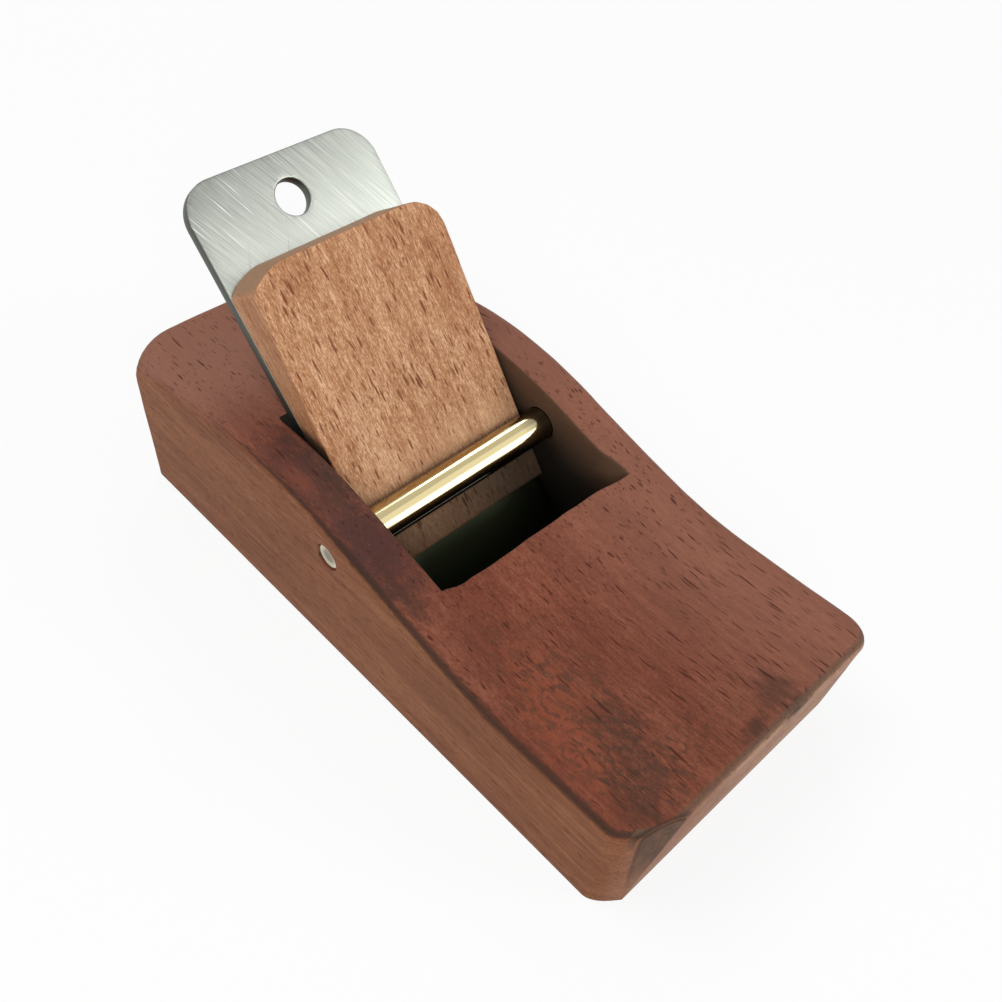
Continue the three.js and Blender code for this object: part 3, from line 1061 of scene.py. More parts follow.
def slope_masks(mesh, body):
    """The wedge's masks that are worked out on the slope: its face, its end, and the painted shadows
    by the pin.
    """
    pin = pin_on_slope(body)
    touch = pin - TOUCH_BEFORE_PIN

    # Painted shadow of the pin on the face below it, stronger on the far side
    def under(co, normal):
        return ease(co.x, pin, pin + SHADE_FADE) * (0.55 + 0.35 * ease(co.y, *SHADE_ACROSS))

    # Painted contact shadow: a thin dark line on the face just above the pin
    def line(co, normal):
        past = ease(co.x, touch + LINE_ENDS[0], touch + LINE_ENDS[1])
        return ease(co.x, touch - LINE_FADE, touch) * (1.0 - past)

    paint_mask(mesh, "face", lambda co, normal: ease(normal.z, 0.5, 0.9))
    paint_mask(mesh, "end", lambda co, normal: ease(-normal.x, 0.4, 0.8))
    paint_mask(mesh, "under", under)
    paint_mask(mesh, "line", line)


def inside_mask(mesh, body):
    """The mask of painted shade on the wedge's sides where they go down into the throat, in the
    frame.
    """
    def inside(co, normal):
        depth = crest_height(body, co.x) - co.z
        return ease(depth, -0.8, 0.6) * ease(abs(normal.y), 0.5, 0.8)

    paint_mask(mesh, "inside", inside)


class OBJECT_OT_plane_wedge(bpy.types.Operator):
    """Make the tapered wooden wedge"""

    bl_idname = "object.plane_wedge"
    bl_label = "Make the wedge"

    def execute(self, context):
        body = body_values(context)
        wedge = millimetres(context.scene.plane_wedge_sizes)
        bm = bmesh.new()
        for corner in wedge_corners(wedge, pin_on_slope(body)):
            bm.verts.new(corner)
        bmesh.ops.convex_hull(bm, input=bm.verts[:])
        bmesh.ops.dissolve_limit(bm, angle_limit=0.02, verts=bm.verts[:], edges=bm.edges[:])
        soften(bm, bm.edges[:], wedge.softening, steps=3)
        slice_up(bm, SLICE / 2)
        roughen(bm, wedge.unevenness, scale=0.15, seed=11.0)
        mesh = finish_mesh(bm, "wood_wedge", crease_degrees=40.0)
        slope_masks(mesh, body)
        mesh.transform(slope_matrix(body))
        inside_mask(mesh, body)
        material = wedge_wood(context.scene.plane_finish, body)
        place_piece("wood_wedge", mesh, material, "key", "wedge")
        return {"FINISHED"}


# Cross pin

PROFILE_ARC_STEPS = 4
PROFILE_STEPS = 12
SHOULDER = 0.3
# Where the pin's grime and painted reflection by the far cheek begin and are full, in from the cheek
DARK_BY_CHEEK = (2.4, 0.9)


def pin_profile(pin):
    """Half of the pin's outline, from the middle of one end to the other: radius and place."""
    end = pin.pin_length / 2
    rim = pin.neck - pin.rounding
    left = [(0.0, pin.dish), (rim * 0.5, pin.dish), (rim * 0.82, pin.dish * 0.6)]
    for turn in quarter_turns(PROFILE_ARC_STEPS):
        left.append((rim + pin.rounding * math.sin(turn), pin.rounding * (1 - math.cos(turn))))
    left += [(pin.neck, pin.neck_length), (pin.radius, pin.neck_length + SHOULDER)]
    spans = [(pin.radius, pin.pin_length * i / PROFILE_STEPS) for i in range(1, PROFILE_STEPS)]
    right = [(radius, pin.pin_length - along) for radius, along in reversed(left)]
    return [(radius, along - end) for radius, along in left + spans + right]


def pin_masks(mesh, pin, body):
    """Masks for the pin's cut ends, their hollows, and its grime, painted reflection and painted
    shade in the throat.
    """
    reach = pin.pin_length / 2 - pin.neck_length
    cheek = body.throat_width / 2

    def hollow(co, normal):
        away = math.hypot(co.x - body.bore_x, co.z - body.bore_z)
        return 1.0 - ease(away, pin.neck * 0.3, pin.neck * 0.8)

    # By the far cheek: grime and a painted reflection of the cheek; on the heel side and the lower
    # half: painted shade
    def dirt(co, normal):
        by_cheek = ease(co.y, cheek - DARK_BY_CHEEK[0], cheek - DARK_BY_CHEEK[1])
        behind = ease(-normal.x, 0.48, 0.62)
        return max(by_cheek, behind, ease(-normal.z, -0.2, 0.0))

    paint_mask(mesh, "cut", lambda co, normal: ease(abs(co.y), reach, reach + 0.2))
    paint_mask(mesh, "dirt", dirt)
    paint_mask(mesh, "hollow", hollow)


class OBJECT_OT_plane_pin(bpy.types.Operator):
    """Make the polished cross pin"""

    bl_idname = "object.plane_pin"
    bl_label = "Make the cross pin"

    def execute(self, context):
        body = body_values(context)
        pin = millimetres(context.scene.plane_pin_sizes)
        bm = bmesh.new()
        verts = [bm.verts.new((radius, y, 0.0)) for radius, y in pin_profile(pin)]
        edges = [bm.edges.new(pair) for pair in zip(verts, verts[1:])]
        bmesh.ops.spin(
            bm, geom=verts + edges, axis=(0, 1, 0), cent=(0, 0, 0), angle=2 * math.pi,
            steps=pin.steps, use_merge=True,
        )
        bmesh.ops.remove_doubles(bm, verts=bm.verts[:], dist=WELD)
        bmesh.ops.recalc_face_normals(bm, faces=bm.faces[:])
        bm.transform(Matrix.Translation((body.bore_x, 0.0, body.bore_z)))
        mesh = finish_mesh(bm, "steel_pin", crease_degrees=50.0)
        pin_masks(mesh, pin, body)
        material = pin_steel(context.scene.plane_finish)
        place_piece("steel_pin", mesh, material, "plane", "cross_pin")
        return {"FINISHED"}


# Shared shader groups

AT_ORIGIN = (0.0, 0.0, 0.0)


def socket_kind(default):
    """The kind of socket that holds a number, a place or a colour."""
    if isinstance(default, float):
        return "NodeSocketFloat"
    return "NodeSocketVector" if len(default) == 3 else "NodeSocketColor"


def shader_group(name, inputs, outputs):
    """A shader node group that reads a place in millimetres. Gives the tree, its inputs and end."""
    tree = bpy.data.node_groups.new(name, "ShaderNodeTree")
    inputs = {"Place": AT_ORIGIN, **inputs}
    for label, default in inputs.items():
        kind = socket_kind(default)
        socket = tree.interface.new_socket(label, in_out="INPUT", socket_type=kind)
        socket.default_value = default
    for label in outputs:
        kind = "NodeSocketColor" if label == "Color" else "NodeSocketFloat"
        tree.interface.new_socket(label, in_out="OUTPUT", socket_type=kind)
    start = tree.nodes.new("NodeGroupInput")
    end = tree.nodes.new("NodeGroupOutput")
    return tree, {label: Term(tree, start.outputs[label]) for label in inputs}, end


def use_group(tree, group, inputs):
    """Places a shared group in a material or another group."""
    node = tree.nodes.new("ShaderNodeGroup")
    node.node_tree = group
    for label, value in inputs.items():
        plug(tree, node.inputs[label], value)
    return {output.name: Term(tree, output) for output in node.outputs}


def stretched(tree, place, x, y, z):
    """A place with each of its directions multiplied."""
    node = add_node(tree, "ShaderNodeVectorMath", {0: place}, operation="MULTIPLY")
    plug(tree, node.inputs[1], join(tree, x, y, z))
    return node.outputs[0]


def noise_at(tree, vector, scale=1.0, detail=2.0, roughness=0.5):
    """Smooth noise around a half."""
    node = add_node(tree, "ShaderNodeTexNoise", {
        "Vector": vector, "Scale": scale, "Detail": detail, "Roughness": roughness,
    })
    return Term(tree, node.outputs[0])


def mix_colours(tree, amount, low, high):
    """Goes from one colour to another."""
    node = add_node(tree, "ShaderNodeMix", data_type="RGBA")
    sockets = [s for s in node.inputs if s.type == "RGBA"]
    plug(tree, node.inputs[0], amount)
    plug(tree, sockets[0], low)
    plug(tree, sockets[1], high)
    return next(s for s in node.outputs if s.type == "RGBA")


def pore_group():
    """Dark pores lying along X: thin grains of many sizes, scattered through the wood."""
    tree, given, end = shader_group(
        "Wood pores", {"Length": 8.0, "Width": 0.4, "Size": 0.3, "Density": 0.5}, ["Mask"])
    bend = noise_at(tree, stretched(tree, given["Place"], 0.15, 0.3, 0.3), detail=2.0) - 0.5
    x, y, z = split(tree, given["Place"])
    place = join(tree, x / given["Length"], (y + bend * 1.4) / given["Width"], z / given["Width"])
    cells = add_node(tree, "ShaderNodeTexVoronoi", {"Vector": place, "Scale": 1.0})
    tone, pick, _ = split(tree, cells.outputs["Color"])
    size = given["Size"] * (tone * 1.1 + 0.35)
    mask = ramp(Term(tree, cells.outputs["Distance"]), size * 0.5, size, 1.0, 0.0, smooth=True)
    kept = ramp(pick, given["Density"], given["Density"] + 0.02, 1.0, 0.0)
    plug(tree, end.inputs["Mask"], mask * kept * (tone * 0.5 + 0.5))
    return tree


# Figure, streaks, fibres and speckle: grains a millimetre along and across, roughness, relief
WOOD_LAYERS = (
    ("Figure", 0.05, 0.16, 0.5, 0.0),
    ("Streaks", 0.06, 1.1, 0.6, 0.2),
    ("Fibre", 0.35, 3.6, 0.6, 0.6),
    ("Speckle", 2.2, 3.8, 0.7, 0.2),
)


def tone_group():
    """Wood colour: a broad figure, streaks, fine fibres and speckle, drawn out along X."""
    tree, given, end = shader_group("Wood tone", {
        "Dark": (0.1, 0.05, 0.03, 1.0), "Middle": (0.2, 0.1, 0.06, 1.0),
        "Light": (0.3, 0.15, 0.1, 1.0), "Figure": 1.0, "Streaks": 1.0, "Fibre": 1.0,
        "Speckle": 1.0,
    }, ["Color", "Height"])
    tone = height = 0.0
    for name, along, across, roughness, relief in WOOD_LAYERS:
        place = stretched(tree, given["Place"], along, across, across)
        layer = noise_at(tree, place, detail=3.0, roughness=roughness)
        tone = (layer - 0.5) * given[name] + tone
        height = layer * relief + height
    toned = mix_colours(tree, ramp(tone, 0.0, -0.5), given["Middle"], given["Dark"])
    toned = mix_colours(tree, ramp(tone, 0.0, 0.5), toned, given["Light"])
    plug(tree, end.inputs["Color"], toned)
    plug(tree, end.inputs["Height"], height)
    return tree


def smudge_group():
    """A soft uneven spot round a centre, with its own reach along and across."""
    tree, given, end = shader_group(
        "Grip smudge", {"Centre": AT_ORIGIN, "Along": 5.0, "Across": 2.0, "Ragged": 0.6}, ["Mask"])
    away = add_node(tree, "ShaderNodeVectorMath", {0: given["Place"], 1: given["Centre"]},
                    operation="SUBTRACT").outputs[0]
    x, y, z = split(tree, away)
    reach = join(tree, x / given["Along"], y / given["Across"], z / given["Across"])
    far = add_node(tree, "ShaderNodeVectorMath", {0: reach}, operation="LENGTH").outputs["Value"]
    cloud = noise_at(tree, stretched(tree, given["Place"], 0.5, 0.9, 0.9), detail=5.0, roughness=0.7)
    edge = Term(tree, far) + (cloud - 0.5) * 2.6 * given["Ragged"]
    plug(tree, end.inputs["Mask"], ramp(edge, 0.2, 1.15, 1.0, 0.0, smooth=True))
    return tree


def wear_group():
    """Wear along an edge: a mask from the mesh, broken up unevenly."""
    tree, given, end = shader_group("Edge wear", {"Edge": 0.0, "Amount": 0.5}, ["Mask"])
    rough = noise_at(tree, stretched(tree, given["Place"], 0.5, 1.6, 1.6), detail=5.0, roughness=0.7)
    broad = noise_at(tree, stretched(tree, given["Place"], 0.12, 0.12, 0.12), detail=1.0)
    level = given["Edge"] * given["Amount"] + (rough - 0.5) * 0.8 + (broad - 0.5) * 0.5
    plug(tree, end.inputs["Mask"], ramp(level, 0.25, 0.65, smooth=True) * given["Edge"])
    return tree


def mottle_group():
    """Worm-like flecks that run into one another."""
    tree, given, end = shader_group("Mottle", {"Scale": 0.8}, ["Mask"])
    warp = noise_at(tree, stretched(tree, given["Place"], 0.5, 0.5, 0.5), detail=3.0)
    x, y, z = split(tree, given["Place"])
    bent = join(tree, x * 0.6 + warp * 4.0, y + warp * 2.0, z)
    flecks = noise_at(tree, bent, scale=given["Scale"], detail=4.0, roughness=0.65)
    plug(tree, end.inputs["Mask"], ramp(flecks, 0.42, 0.62, smooth=True))
    return tree


def scratch_group():
    """Fine parallel scratches along X, with a few deeper ones."""
    tree, given, end = shader_group("Steel scratches", {"Density": 3.0}, ["Tone", "Deep"])
    x, y, z = split(tree, given["Place"])
    fine_place = join(tree, x * 0.09, y * given["Density"], z)
    fine = noise_at(tree, fine_place, detail=3.0, roughness=0.75)
    deep_place = join(tree, x * 0.05, y * given["Density"] * 0.6, z + 40.0)
    deep = noise_at(tree, deep_place, detail=3.0, roughness=0.7)
    plug(tree, end.inputs["Tone"], fine)
    plug(tree, end.inputs["Deep"], ramp(deep, 0.62, 0.72, smooth=True))
    return tree


SHARED = {}
SHARED_MAKERS = {
    "pores": pore_group, "tone": tone_group, "smudge": smudge_group, "wear": wear_group,
    "mottle": mottle_group, "scratches": scratch_group,
}


def shared(name):
    """A shared shader group, built once."""
    if name not in SHARED:
        SHARED[name] = SHARED_MAKERS[name]()
    return SHARED[name]


# Materials

def new_material(name):
    """A material with a bare shader in it."""
    material = bpy.data.materials.new(name)
    material.use_nodes = True
    tree = material.node_tree
    shader = next(n for n in tree.nodes if n.type == "BSDF_PRINCIPLED")
    return material, tree, shader


def place_in_mm(tree, matrix=None):
    """Object coordinates in millimetres, turned into a piece's own directions."""
    source = tree.nodes.new("ShaderNodeTexCoord").outputs["Object"]
    scaled = add_node(tree, "ShaderNodeVectorMath", {0: source}, operation="SCALE")
    scaled.inputs["Scale"].default_value = 1.0 / MM
    if matrix is None:
        return scaled.outputs[0]
    turned = add_node(tree, "ShaderNodeMapping", {"Vector": scaled.outputs[0]})
    back = matrix.inverted()
    turned.inputs["Location"].default_value = back.to_translation()
    turned.inputs["Rotation"].default_value = back.to_euler()
    return turned.outputs[0]


def mesh_mask(tree, name):
    """A mask stored on the mesh."""
    node = add_node(tree, "ShaderNodeAttribute", attribute_name=name)
    return Term(tree, node.outputs["Fac"])


def rgba(value):
    """A colour property as a socket's value."""
    return (*value, 1.0)


def bump(tree, shader, height, depth):
    """Feeds a height, in millimetres of depth, to a shader's normal."""
    node = add_node(tree, "ShaderNodeBump", {"Height": height, "Strength": 1.0})
    node.inputs["Distance"].default_value = depth * MM
    plug(tree, shader.inputs["Normal"], node.outputs[0])


# Places in millimetres, as the hand marks lie on the wood: centre, reach along and across,
# and how strong
GRIP_MARKS = (
    ((-16.0, -17.4, 28.3), 4.0, 2.4, 0.40),
    ((-10.5, -17.6, 28.3), 5.0, 2.2, 0.30),
    ((-7.2, -17.0, 28.1), 4.2, 2.6, 0.80),
    ((11.0, -20.4, 22.8), 9.0, 1.6, 0.55),
    ((38.3, -12.6, 19.2), 6.0, 4.0, 0.35),
    ((44.5, -15.5, 19.2), 5.0, 4.5, 0.45),
    ((46.2, -18.6, 19.2), 4.6, 2.6, 0.50),
    ((48.7, -0.7, 19.2), 1.7, 3.0, 0.70),
    ((50.4, 6.0, 19.0), 1.4, 3.6, 0.80),
    ((47.2, 5.4, 19.2), 4.0, 3.6, 0.60),
)
DARK_CHEEK = (
    ((-10.0, -19.0, 28.0), 12.0, 6.5, 0.92),
    ((2.5, -19.0, 25.8), 12.0, 8.0, 1.00),
    ((18.0, -17.5, 21.4), 11.0, 5.0, 0.30),
)
RED_PATCHES = (
    ((-10.7, -20.5, 27.5), 4.5, 1.6, 0.35),
    ((-7.5, -17.5, 27.6), 3.0, 1.6, 0.25),
    ((29.4, -15.5, 19.6), 10.0, 5.0, 0.50),
    ((38.0, -18.6, 19.2), 11.0, 4.0, 0.50),
    ((17.0, -16.0, 21.5), 7.0, 5.0, 0.15),
)
MOTTLED = (
    ((33.0, -14.5, 19.3), 18.0, 9.0, 0.85),
    ((43.5, -14.0, 19.2), 9.0, 9.0, 0.80),
    ((44.5, -5.0, 19.2), 6.0, 9.0, 0.45),
    ((-6.0, -17.5, 28.0), 11.0, 4.0, 0.55),
)

# Where a tone starts and where it is full, in millimetres
# Painted light on the top, across to the far side and back towards the heel
PALE_ACROSS = (-8.0, 20.0)
PALE_AT_HEEL = (-14.0, -38.0)
BARE_ACROSS = (-18.0, 4.0)
PORES_ACROSS = (-12.0, 8.0)
BAND_AHEAD = (0.0, 40.0)
# Painted light on the wedge's face, rising towards the pin
PAINTED_LIGHT_ALONG = (-34.0, -24.0)
# Painted reflection on the blade: lighter towards the far side and lower down
STEEL_ACROSS = (-15.0, 15.0)
STEEL_HEIGHTS = (51.0, 41.0)

# Depths of the relief in millimetres
WOOD_RELIEF = 0.07
WEDGE_RELIEF = 0.08
BLADE_RELIEF = 0.004
PIN_RELIEF = 0.003

NOTHING = (0.0, 0.0, 0.0)
ALL = (1.0, 1.0, 1.0)
WEDGE_GRAIN_TILT = 3.5
# Turn in degrees and lines a millimetre
SCRATCH_SETS = ((29.0, 6.5), (24.0, 4.5), (-28.0, 2.2))


def spots(tree, place, tint, listed, over, ragged):
    """Lays soft spots of a colour over a tint."""
    for centre, along, across, strength in listed:
        spot = use_group(tree, shared("smudge"), {
            "Place": place, "Centre": centre, "Along": along, "Across": across, "Ragged": ragged,
        })["Mask"]
        tint = mix_colours(tree, spot * strength, tint, rgba(over))
    return tint


def wood_tone(tree, place, colours, figure, streaks, fibre, speckle):
    """The shared wood tone with its own colours and strengths."""
    return use_group(tree, shared("tone"), {
        "Place": place, "Dark": rgba(colours[0]), "Middle": rgba(colours[1]),
        "Light": rgba(colours[2]), "Figure": figure, "Streaks": streaks, "Fibre": fibre,
        "Speckle": speckle,
    })


def pores(tree, place, long, wide, size, density):
    """The shared pores with their own sizes."""
    return use_group(tree, shared("pores"), {
        "Place": place, "Length": long, "Width": wide, "Size": size, "Density": density,
    })["Mask"]


def coats(tree, tint, *layers):
    """Lays colours over a tint, one after another, each by its own amount."""
    for amount, over in layers:
        tint = mix_colours(tree, amount, tint, rgba(over))
    return tint


def top_tint(tree, finish, place, x, y, tone):
    """The top's colour: painted lighter where light falls at the heel and the far side, darkened and
    reddened by hands.
    """
    # Painted light: paler at the far side and the heel
    pale = calc(tree, "MAXIMUM", ramp(y, *PALE_ACROSS, 0.0, 0.45, smooth=True),
                ramp(x, *PALE_AT_HEEL, 0.0, 0.65, smooth=True))
    tint = mix_colours(tree, pale, tone, rgba(finish.top_pale))
    tint = spots(tree, place, tint, DARK_CHEEK, finish.cheek, ragged=0.5)
    tint = spots(tree, place, tint, RED_PATCHES, finish.red, ragged=0.9)
    flecks = use_group(tree, shared("mottle"), {"Place": place, "Scale": 1.1})["Mask"]
    mottled = spots(tree, place, rgba(NOTHING), MOTTLED, ALL, ragged=0.8)
    return mix_colours(tree, Term(tree, mottled) * flecks, tint, rgba(finish.mottle))


def worn_edge(tree, place, name, amount):
    """The shared edge wear on one of the mesh's masks."""
    return use_group(tree, shared("wear"), {
        "Place": place, "Edge": mesh_mask(tree, name), "Amount": amount,
    })["Mask"]


def body_wood(finish, body):
    """Dark reddish open-pored wood, lighter on the sides, with grip marks, worn edges, painted light
    on the top and painted shade in the throat.
    """
    material, tree, shader = new_material("Body wood")
    place = place_in_mm(tree)
    x, y, z = split(tree, place)
    top = mesh_mask(tree, "top")
    upper = wood_tone(
        tree, place, (finish.top_dark, finish.top_mid, finish.top_light),
        figure=1.0, streaks=0.8, fibre=0.9, speckle=1.1,
    )
    flank = wood_tone(
        tree, place, (finish.side_dark, finish.side_mid, finish.side_light),
        figure=0.9, streaks=1.0, fibre=1.0, speckle=0.7,
    )
    end = wood_tone(
        tree, stretched(tree, place, 1.0, 0.35, 1.0),
        (finish.end_dark, finish.end_wood, finish.end_light),
        figure=1.4, streaks=1.4, fibre=0.8, speckle=1.2,
    )
    tint = mix_colours(tree, top, flank["Color"],
                       top_tint(tree, finish, place, x, y, upper["Color"]))
    bare = mesh_mask(tree, "end") * ramp(y, *BARE_ACROSS, 0.35, 0.9, smooth=True)
    tint = mix_colours(tree, bare, tint, end["Color"])
    tint = spots(tree, place, tint, GRIP_MARKS, finish.grime, ragged=0.8)

    density = ramp(y, *PORES_ACROSS, 0.22, 0.5)
    long_pores = pores(tree, place, long=5.0, wide=0.40, size=0.30, density=density)
    short_pores = pores(tree, stretched(tree, place, 1.0, 1.0, 1.1),
                        long=2.4, wide=0.27, size=0.30, density=0.55)
    pale_dashes = pores(tree, stretched(tree, place, 1.1, 1.1, 1.0),
                        long=2.2, wide=0.26, size=0.32, density=0.5)
    holes = calc(tree, "MAXIMUM", long_pores * (top * 0.75 + 0.25), short_pores * 0.7)
    tint = coats(
        tree, tint, (pale_dashes * 0.18, finish.side_light), (holes * 0.8, finish.pore),
        (worn_edge(tree, place, "band", ramp(x, *BAND_AHEAD, 0.75, 1.15)) * 0.9, finish.band),
        (worn_edge(tree, place, "bevel", 1.0) * 0.8, finish.worn),
        (facet_mask(tree, x, y, z, body), finish.facet),
        (facet_line(tree, x, y, z, body), finish.grime),
        # Painted shade over some real grime in the throat: walls dulled, then near black with depth
        (mesh_mask(tree, "wall") * 0.85, finish.throat_wall),
        (mesh_mask(tree, "deep") * 0.97, finish.throat),
    )
    plug(tree, shader.inputs["Base Color"], tint)
    plug(tree, shader.inputs["Roughness"], 0.55 + holes * 0.25)
    shader.inputs["Specular IOR Level"].default_value = 0.08
    bump(tree, shader, upper["Height"] * 0.3 - holes, WOOD_RELIEF)
    return material


def facet_mask(tree, x, y, z, body):
    """The chiselled facet's own face, fading towards the sole."""
    out = ramp(facet_distance(x, y, z, body), -0.22, -0.06, smooth=True)
    near = ramp(y, -12.0, -14.5) * ramp(z, 1.0, 12.0, 0.1, 0.95)
    rough = noise_at(tree, join(tree, x * 0.8, y * 0.8, z * 0.4), detail=4.0, roughness=0.7)
    return out * near * ramp(rough, 0.25, 0.55, 0.55, 1.0)


def facet_line(tree, x, y, z, body):
    """The thin dark line where the facet meets the top."""
    away = facet_distance(x, y, z, body)
    line = ramp(away, -0.75, -0.35, smooth=True) * ramp(away, -0.28, -0.18, 1.0, 0.0)
    return line * ramp(z, 15.0, 17.5) * ramp(y, -13.0, -15.0) * 0.75


def wedge_wood(finish, body):
    """Lighter orange-tan wood with short dark pores along the wedge, with painted light and painted
    shadow by the pin.
    """
    material, tree, shader = new_material("Wedge wood")
    tilt = Matrix.Rotation(math.radians(WEDGE_GRAIN_TILT), 4, "Z")
    place = place_in_mm(tree, slope_matrix(body) @ tilt)
    face = mesh_mask(tree, "face")
    tone = wood_tone(
        tree, stretched(tree, place, 0.9, 1.5, 1.5),
        (finish.wedge_dark, finish.wedge_mid, finish.wedge_light),
        figure=0.9, streaks=1.2, fibre=1.6, speckle=2.0,
    )
    clusters = noise_at(tree, stretched(tree, place, 0.08, 0.3, 0.3), detail=1.0)
    density = ramp(clusters, 0.42, 0.6, 0.2, 0.9)
    long_pores = pores(tree, place, long=9.0, wide=0.50, size=0.33, density=density)
    short_pores = pores(tree, stretched(tree, place, 1.0, 1.0, 1.1),
                        long=3.4, wide=0.38, size=0.30, density=0.5)
    holes = calc(tree, "MAXIMUM", long_pores * (face * 0.8 + 0.2), short_pores * 0.7)
    along, _, _ = split(tree, place)
    # Painted light: the face made lighter towards the pin
    painted_light = ramp(along, *PAINTED_LIGHT_ALONG, 0.0, 0.3, smooth=True) * face
    # Painted shade: the pin's shadow below it and the throat's shade on the sides, in the throat's
    # colour
    shaded = calc(tree, "MAXIMUM", mesh_mask(tree, "under"), mesh_mask(tree, "inside") * 0.9)
    tint = coats(
        tree, tone["Color"], (painted_light, finish.wedge_light),
        ((1.0 - face) * 0.4, finish.wedge_dark),
        (holes * 0.9, finish.wedge_pore),
        (shaded, finish.throat),
        # Painted contact shadow along the pin, in the pores' colour
        (mesh_mask(tree, "line") * 0.55, finish.pore),
        (mesh_mask(tree, "end") * 0.85, finish.wedge_end),
    )
    plug(tree, shader.inputs["Base Color"], tint)
    plug(tree, shader.inputs["Roughness"], 0.55 + holes * 0.2)
    shader.inputs["Specular IOR Level"].default_value = 0.15
    bump(tree, shader, tone["Height"] * 0.3 - holes, WEDGE_RELIEF)
    return material


def blade_steel(finish, body):
    """Ground steel with fine slanting scratches, a painted reflection that brightens it towards the
    far side and lower down, and painted shade on its narrow sides and its foot.
    """
    material, tree, shader = new_material("Blade steel")
    slope = slope_matrix(body)
    lines, others, steep = [
        use_group(tree, shared("scratches"), {
            "Place": place_in_mm(tree, slope @ Matrix.Rotation(math.radians(turn), 4, "Z")),
            "Density": density,
        }) for turn, density in SCRATCH_SETS
    ]
    place = place_in_mm(tree)
    _, across, height = split(tree, place)
    cloud = noise_at(tree, stretched(tree, place, 0.14, 0.14, 0.14), detail=3.0)
    wall = mesh_mask(tree, "wall")
    # Painted reflection: the level rises towards the far side and lower down
    level = (0.9 + (lines["Tone"] - 0.5) * 1.1 + (others["Tone"] - 0.5) * 0.5
             + (cloud - 0.5) * 0.16 + ramp(across, *STEEL_ACROSS, -0.05, 0.30)
             + ramp(height, *STEEL_HEIGHTS, -0.32, 0.22))
    light = add_node(tree, "ShaderNodeVectorMath", {0: finish.steel}, operation="SCALE")
    plug(tree, light.inputs["Scale"], level)
    deep = calc(tree, "MAXIMUM", lines["Deep"] * 0.30, steep["Deep"] * 0.22)
    tint = coats(
        tree, light.outputs[0], (deep, finish.steel_edge),
        (others["Deep"] * 0.65, finish.scratch),
        # Painted shade on the narrow sides
        (wall * 0.95, finish.steel_edge),
        # Painted shade on the foot in the throat
        (mesh_mask(tree, "foot"), finish.steel_foot),
    )
    plug(tree, shader.inputs["Base Color"], tint)
    shader.inputs["Metallic"].default_value = 1.0
    plug(tree, shader.inputs["Roughness"], 0.36 + (lines["Tone"] - 0.5) * 0.2 + wall * 0.1)
    bump(tree, shader, lines["Tone"], BLADE_RELIEF)
    return material


def pin_steel(finish):
    """Polished steel with faint lines along the rod, duller cut ends, and grime and painted shade
    where it lies in the throat.
    """
    material, tree, shader = new_material("Pin steel")
    cloud = noise_at(tree, stretched(tree, place_in_mm(tree), 3.0, 0.12, 3.0), detail=3.0)
    cut = mesh_mask(tree, "cut")
    tint = coats(
        tree, rgba(finish.polished), (cut * 0.6, finish.pin_cut),
        (cut * mesh_mask(tree, "hollow") * 0.9, finish.pin_hollow),
        # Grime, painted reflection and painted shade
        (mesh_mask(tree, "dirt") * (1.0 - cut) * 0.85, finish.steel_edge),
    )
    plug(tree, shader.inputs["Base Color"], tint)
    shader.inputs["Metallic"].default_value = 1.0
    plug(tree, shader.inputs["Roughness"], 0.05 + cloud * 0.10 + cut * 0.2)
    bump(tree, shader, cloud, PIN_RELIEF)
    return material


# Stage: floor, lamps, sky and camera

WHITE = (1.0, 1.0, 1.0, 1.0)
FLOOR_COLOUR = (0.8, 0.8, 0.8, 1.0)
FLOOR_ROUGHNESS = 0.9
FLOOR_HALF = 2.0
FLOOR_BELOW = 0.05 * MM
FLOOR_FADE = (120.0, 600.0)
FLOOR_WHITENESS = (0.85, 1.0)
SENSOR_WIDTH = 36.0
LAMPS = (
    # name, place, width and height in metres; the stage's settings give the watts
    ("key", (-0.20, -0.15, 0.55), (0.30, 0.30)),
    ("soft", (0.30, 0.30, 0.45), (0.30, 0.39)),
    ("fill", (0.45, -0.35, 0.42), (0.40, 0.30)),
    ("back", (0.51, 0.32, 0.25), (0.20, 0.33)),
    ("glint", (-0.31, 0.32, 0.48), (0.10, 0.16)),
)


def is_seen(tree):
    """One for what the camera sees, also in reflections, and nothing for scattered light."""
    path = tree.nodes.new("ShaderNodeLightPath")
    seen = calc(tree, "MAXIMUM", Term(tree, path.outputs["Is Camera Ray"]),
                Term(tree, path.outputs["Is Glossy Ray"]))
    return calc(tree, "MAXIMUM", seen, Term(tree, path.outputs["Is Transmission Ray"]))


def floor_material():
    """Plain pale floor that looks white where it is seen, and keeps a soft shadow."""
    material, tree, shader = new_material("Pale floor")
    shader.inputs["Base Color"].default_value = FLOOR_COLOUR
    shader.inputs["Roughness"].default_value = FLOOR_ROUGHNESS
    away = add_node(tree, "ShaderNodeVectorMath", {0: place_in_mm(tree)}, operation="LENGTH")
    whiteness = ramp(Term(tree, away.outputs["Value"]), *FLOOR_FADE, *FLOOR_WHITENESS)
    glow = add_node(tree, "ShaderNodeEmission", {"Color": WHITE, "Strength": 1.0})
    mixed = add_node(tree, "ShaderNodeMixShader", {
        0: is_seen(tree) * whiteness, 1: shader.outputs[0], 2: glow.outputs[0],
    })
    out = next(n for n in tree.nodes if n.type == "OUTPUT_MATERIAL")
    plug(tree, out.inputs["Surface"], mixed.outputs[0])
    return material


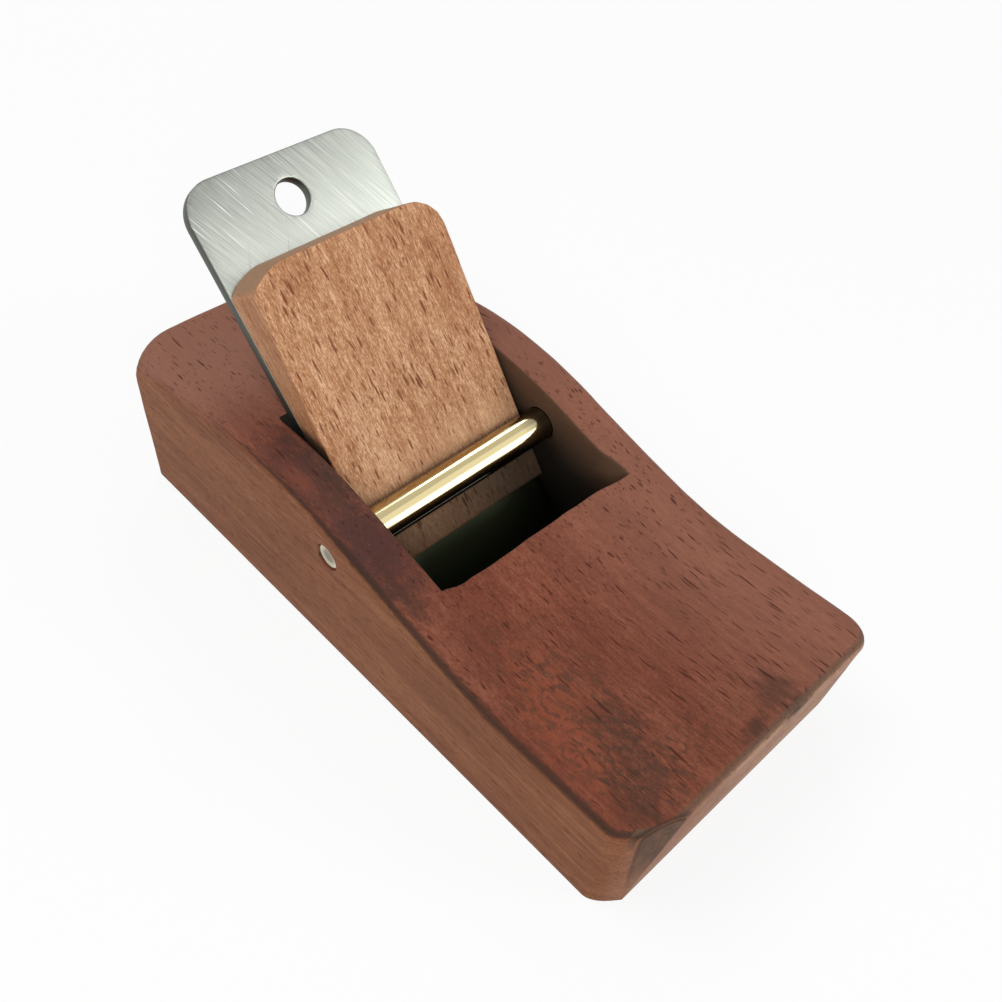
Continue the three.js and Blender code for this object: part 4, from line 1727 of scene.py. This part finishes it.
def add_floor():
    """A wide flat floor under the sole."""
    bm = bmesh.new()
    bmesh.ops.create_grid(bm, x_segments=4, y_segments=4, size=FLOOR_HALF)
    mesh = bpy.data.meshes.new("floor")
    bm.to_mesh(mesh)
    bm.free()
    mesh.transform(Matrix.Translation((0.0, 0.0, -FLOOR_BELOW)))
    mesh.materials.append(floor_material())
    floor = new_object("floor", mesh)


def add_lamp(name, place, size, power):
    """A soft lamp that looks at the plane."""
    lamp = bpy.data.lights.new(name, "AREA")
    lamp.shape = "RECTANGLE"
    lamp.size, lamp.size_y = size
    lamp.energy = power
    holder = new_object(name, lamp)
    holder.location = place
    towards = Vector((0.0, 0.0, CAD_BOX[1][2] / 2)) - Vector(place)
    holder.rotation_euler = towards.to_track_quat("-Z", "Y").to_euler()


def set_sky(ambient):
    """An even pale room that reads as white where it is seen."""
    world = bpy.data.worlds.new("Room")
    bpy.context.scene.world = world
    world.use_nodes = True
    tree = world.node_tree
    back = next(n for n in tree.nodes if n.type == "BACKGROUND")
    plug(tree, back.inputs["Strength"], is_seen(tree) * (1.0 - ambient) + ambient)
    back.inputs["Color"].default_value = WHITE


def add_camera(stage):
    """The camera at the photograph's viewing angle."""
    camera = bpy.data.cameras.new("camera")
    camera.lens = stage.lens
    camera.sensor_width = SENSOR_WIDTH
    camera.clip_start = 1.0 * MM
    holder = new_object("camera", camera)
    turn = Matrix.Rotation(stage.azimuth, 4, "Z")
    turn = turn @ Matrix.Rotation(math.pi / 2 - stage.elevation, 4, "X")
    turn = turn @ Matrix.Rotation(stage.roll, 4, "Z")
    holder.matrix_world = Matrix.Translation(stage.camera_place) @ turn
    bpy.context.scene.camera = holder


class OBJECT_OT_plane_stage(bpy.types.Operator):
    """Set the floor, the lamps, the room's light and the camera"""

    bl_idname = "object.plane_stage"
    bl_label = "Set the stage"

    def execute(self, context):
        stage = context.scene.plane_stage
        add_floor()
        for name, place, size in LAMPS:
            add_lamp(name, place, size, getattr(stage, name + "_power"))
        set_sky(stage.ambient)
        add_camera(stage)
        context.scene.view_settings.view_transform = "Standard"
        return {"FINISHED"}


class VIEW3D_PT_hand_plane(bpy.types.Panel):
    """The pieces of the plane and their sizes"""

    bl_label = "Hand Plane"
    bl_space_type = "VIEW_3D"
    bl_region_type = "UI"
    bl_category = "Hand Plane"

    def draw(self, context):
        for operator in OPERATORS:
            self.layout.operator(operator.bl_idname)
        for name, group in GROUPS.items():
            column = self.layout.column(align=True)
            column.label(text=group.__doc__)
            values = getattr(context.scene, name)
            for prop in group.__annotations__:
                column.prop(values, prop)


OPERATORS = (
    OBJECT_OT_plane_stage, OBJECT_OT_plane_body, OBJECT_OT_plane_blade, OBJECT_OT_plane_wedge,
    OBJECT_OT_plane_pin,
)
CLASSES = (*GROUPS.values(), *OPERATORS, VIEW3D_PT_hand_plane)


def register():
    for cls in CLASSES:
        bpy.utils.register_class(cls)
    for name, group in GROUPS.items():
        setattr(bpy.types.Scene, name, PointerProperty(type=group))


def unregister():
    for name in GROUPS:
        delattr(bpy.types.Scene, name)
    for cls in reversed(CLASSES):
        bpy.utils.unregister_class(cls)


def main():
    """Makes everything."""
    register()
    bpy.ops.object.plane_stage()
    bpy.ops.object.plane_body()
    bpy.ops.object.plane_blade()
    bpy.ops.object.plane_wedge()
    bpy.ops.object.plane_pin()


if __name__ == "__main__":
    main()
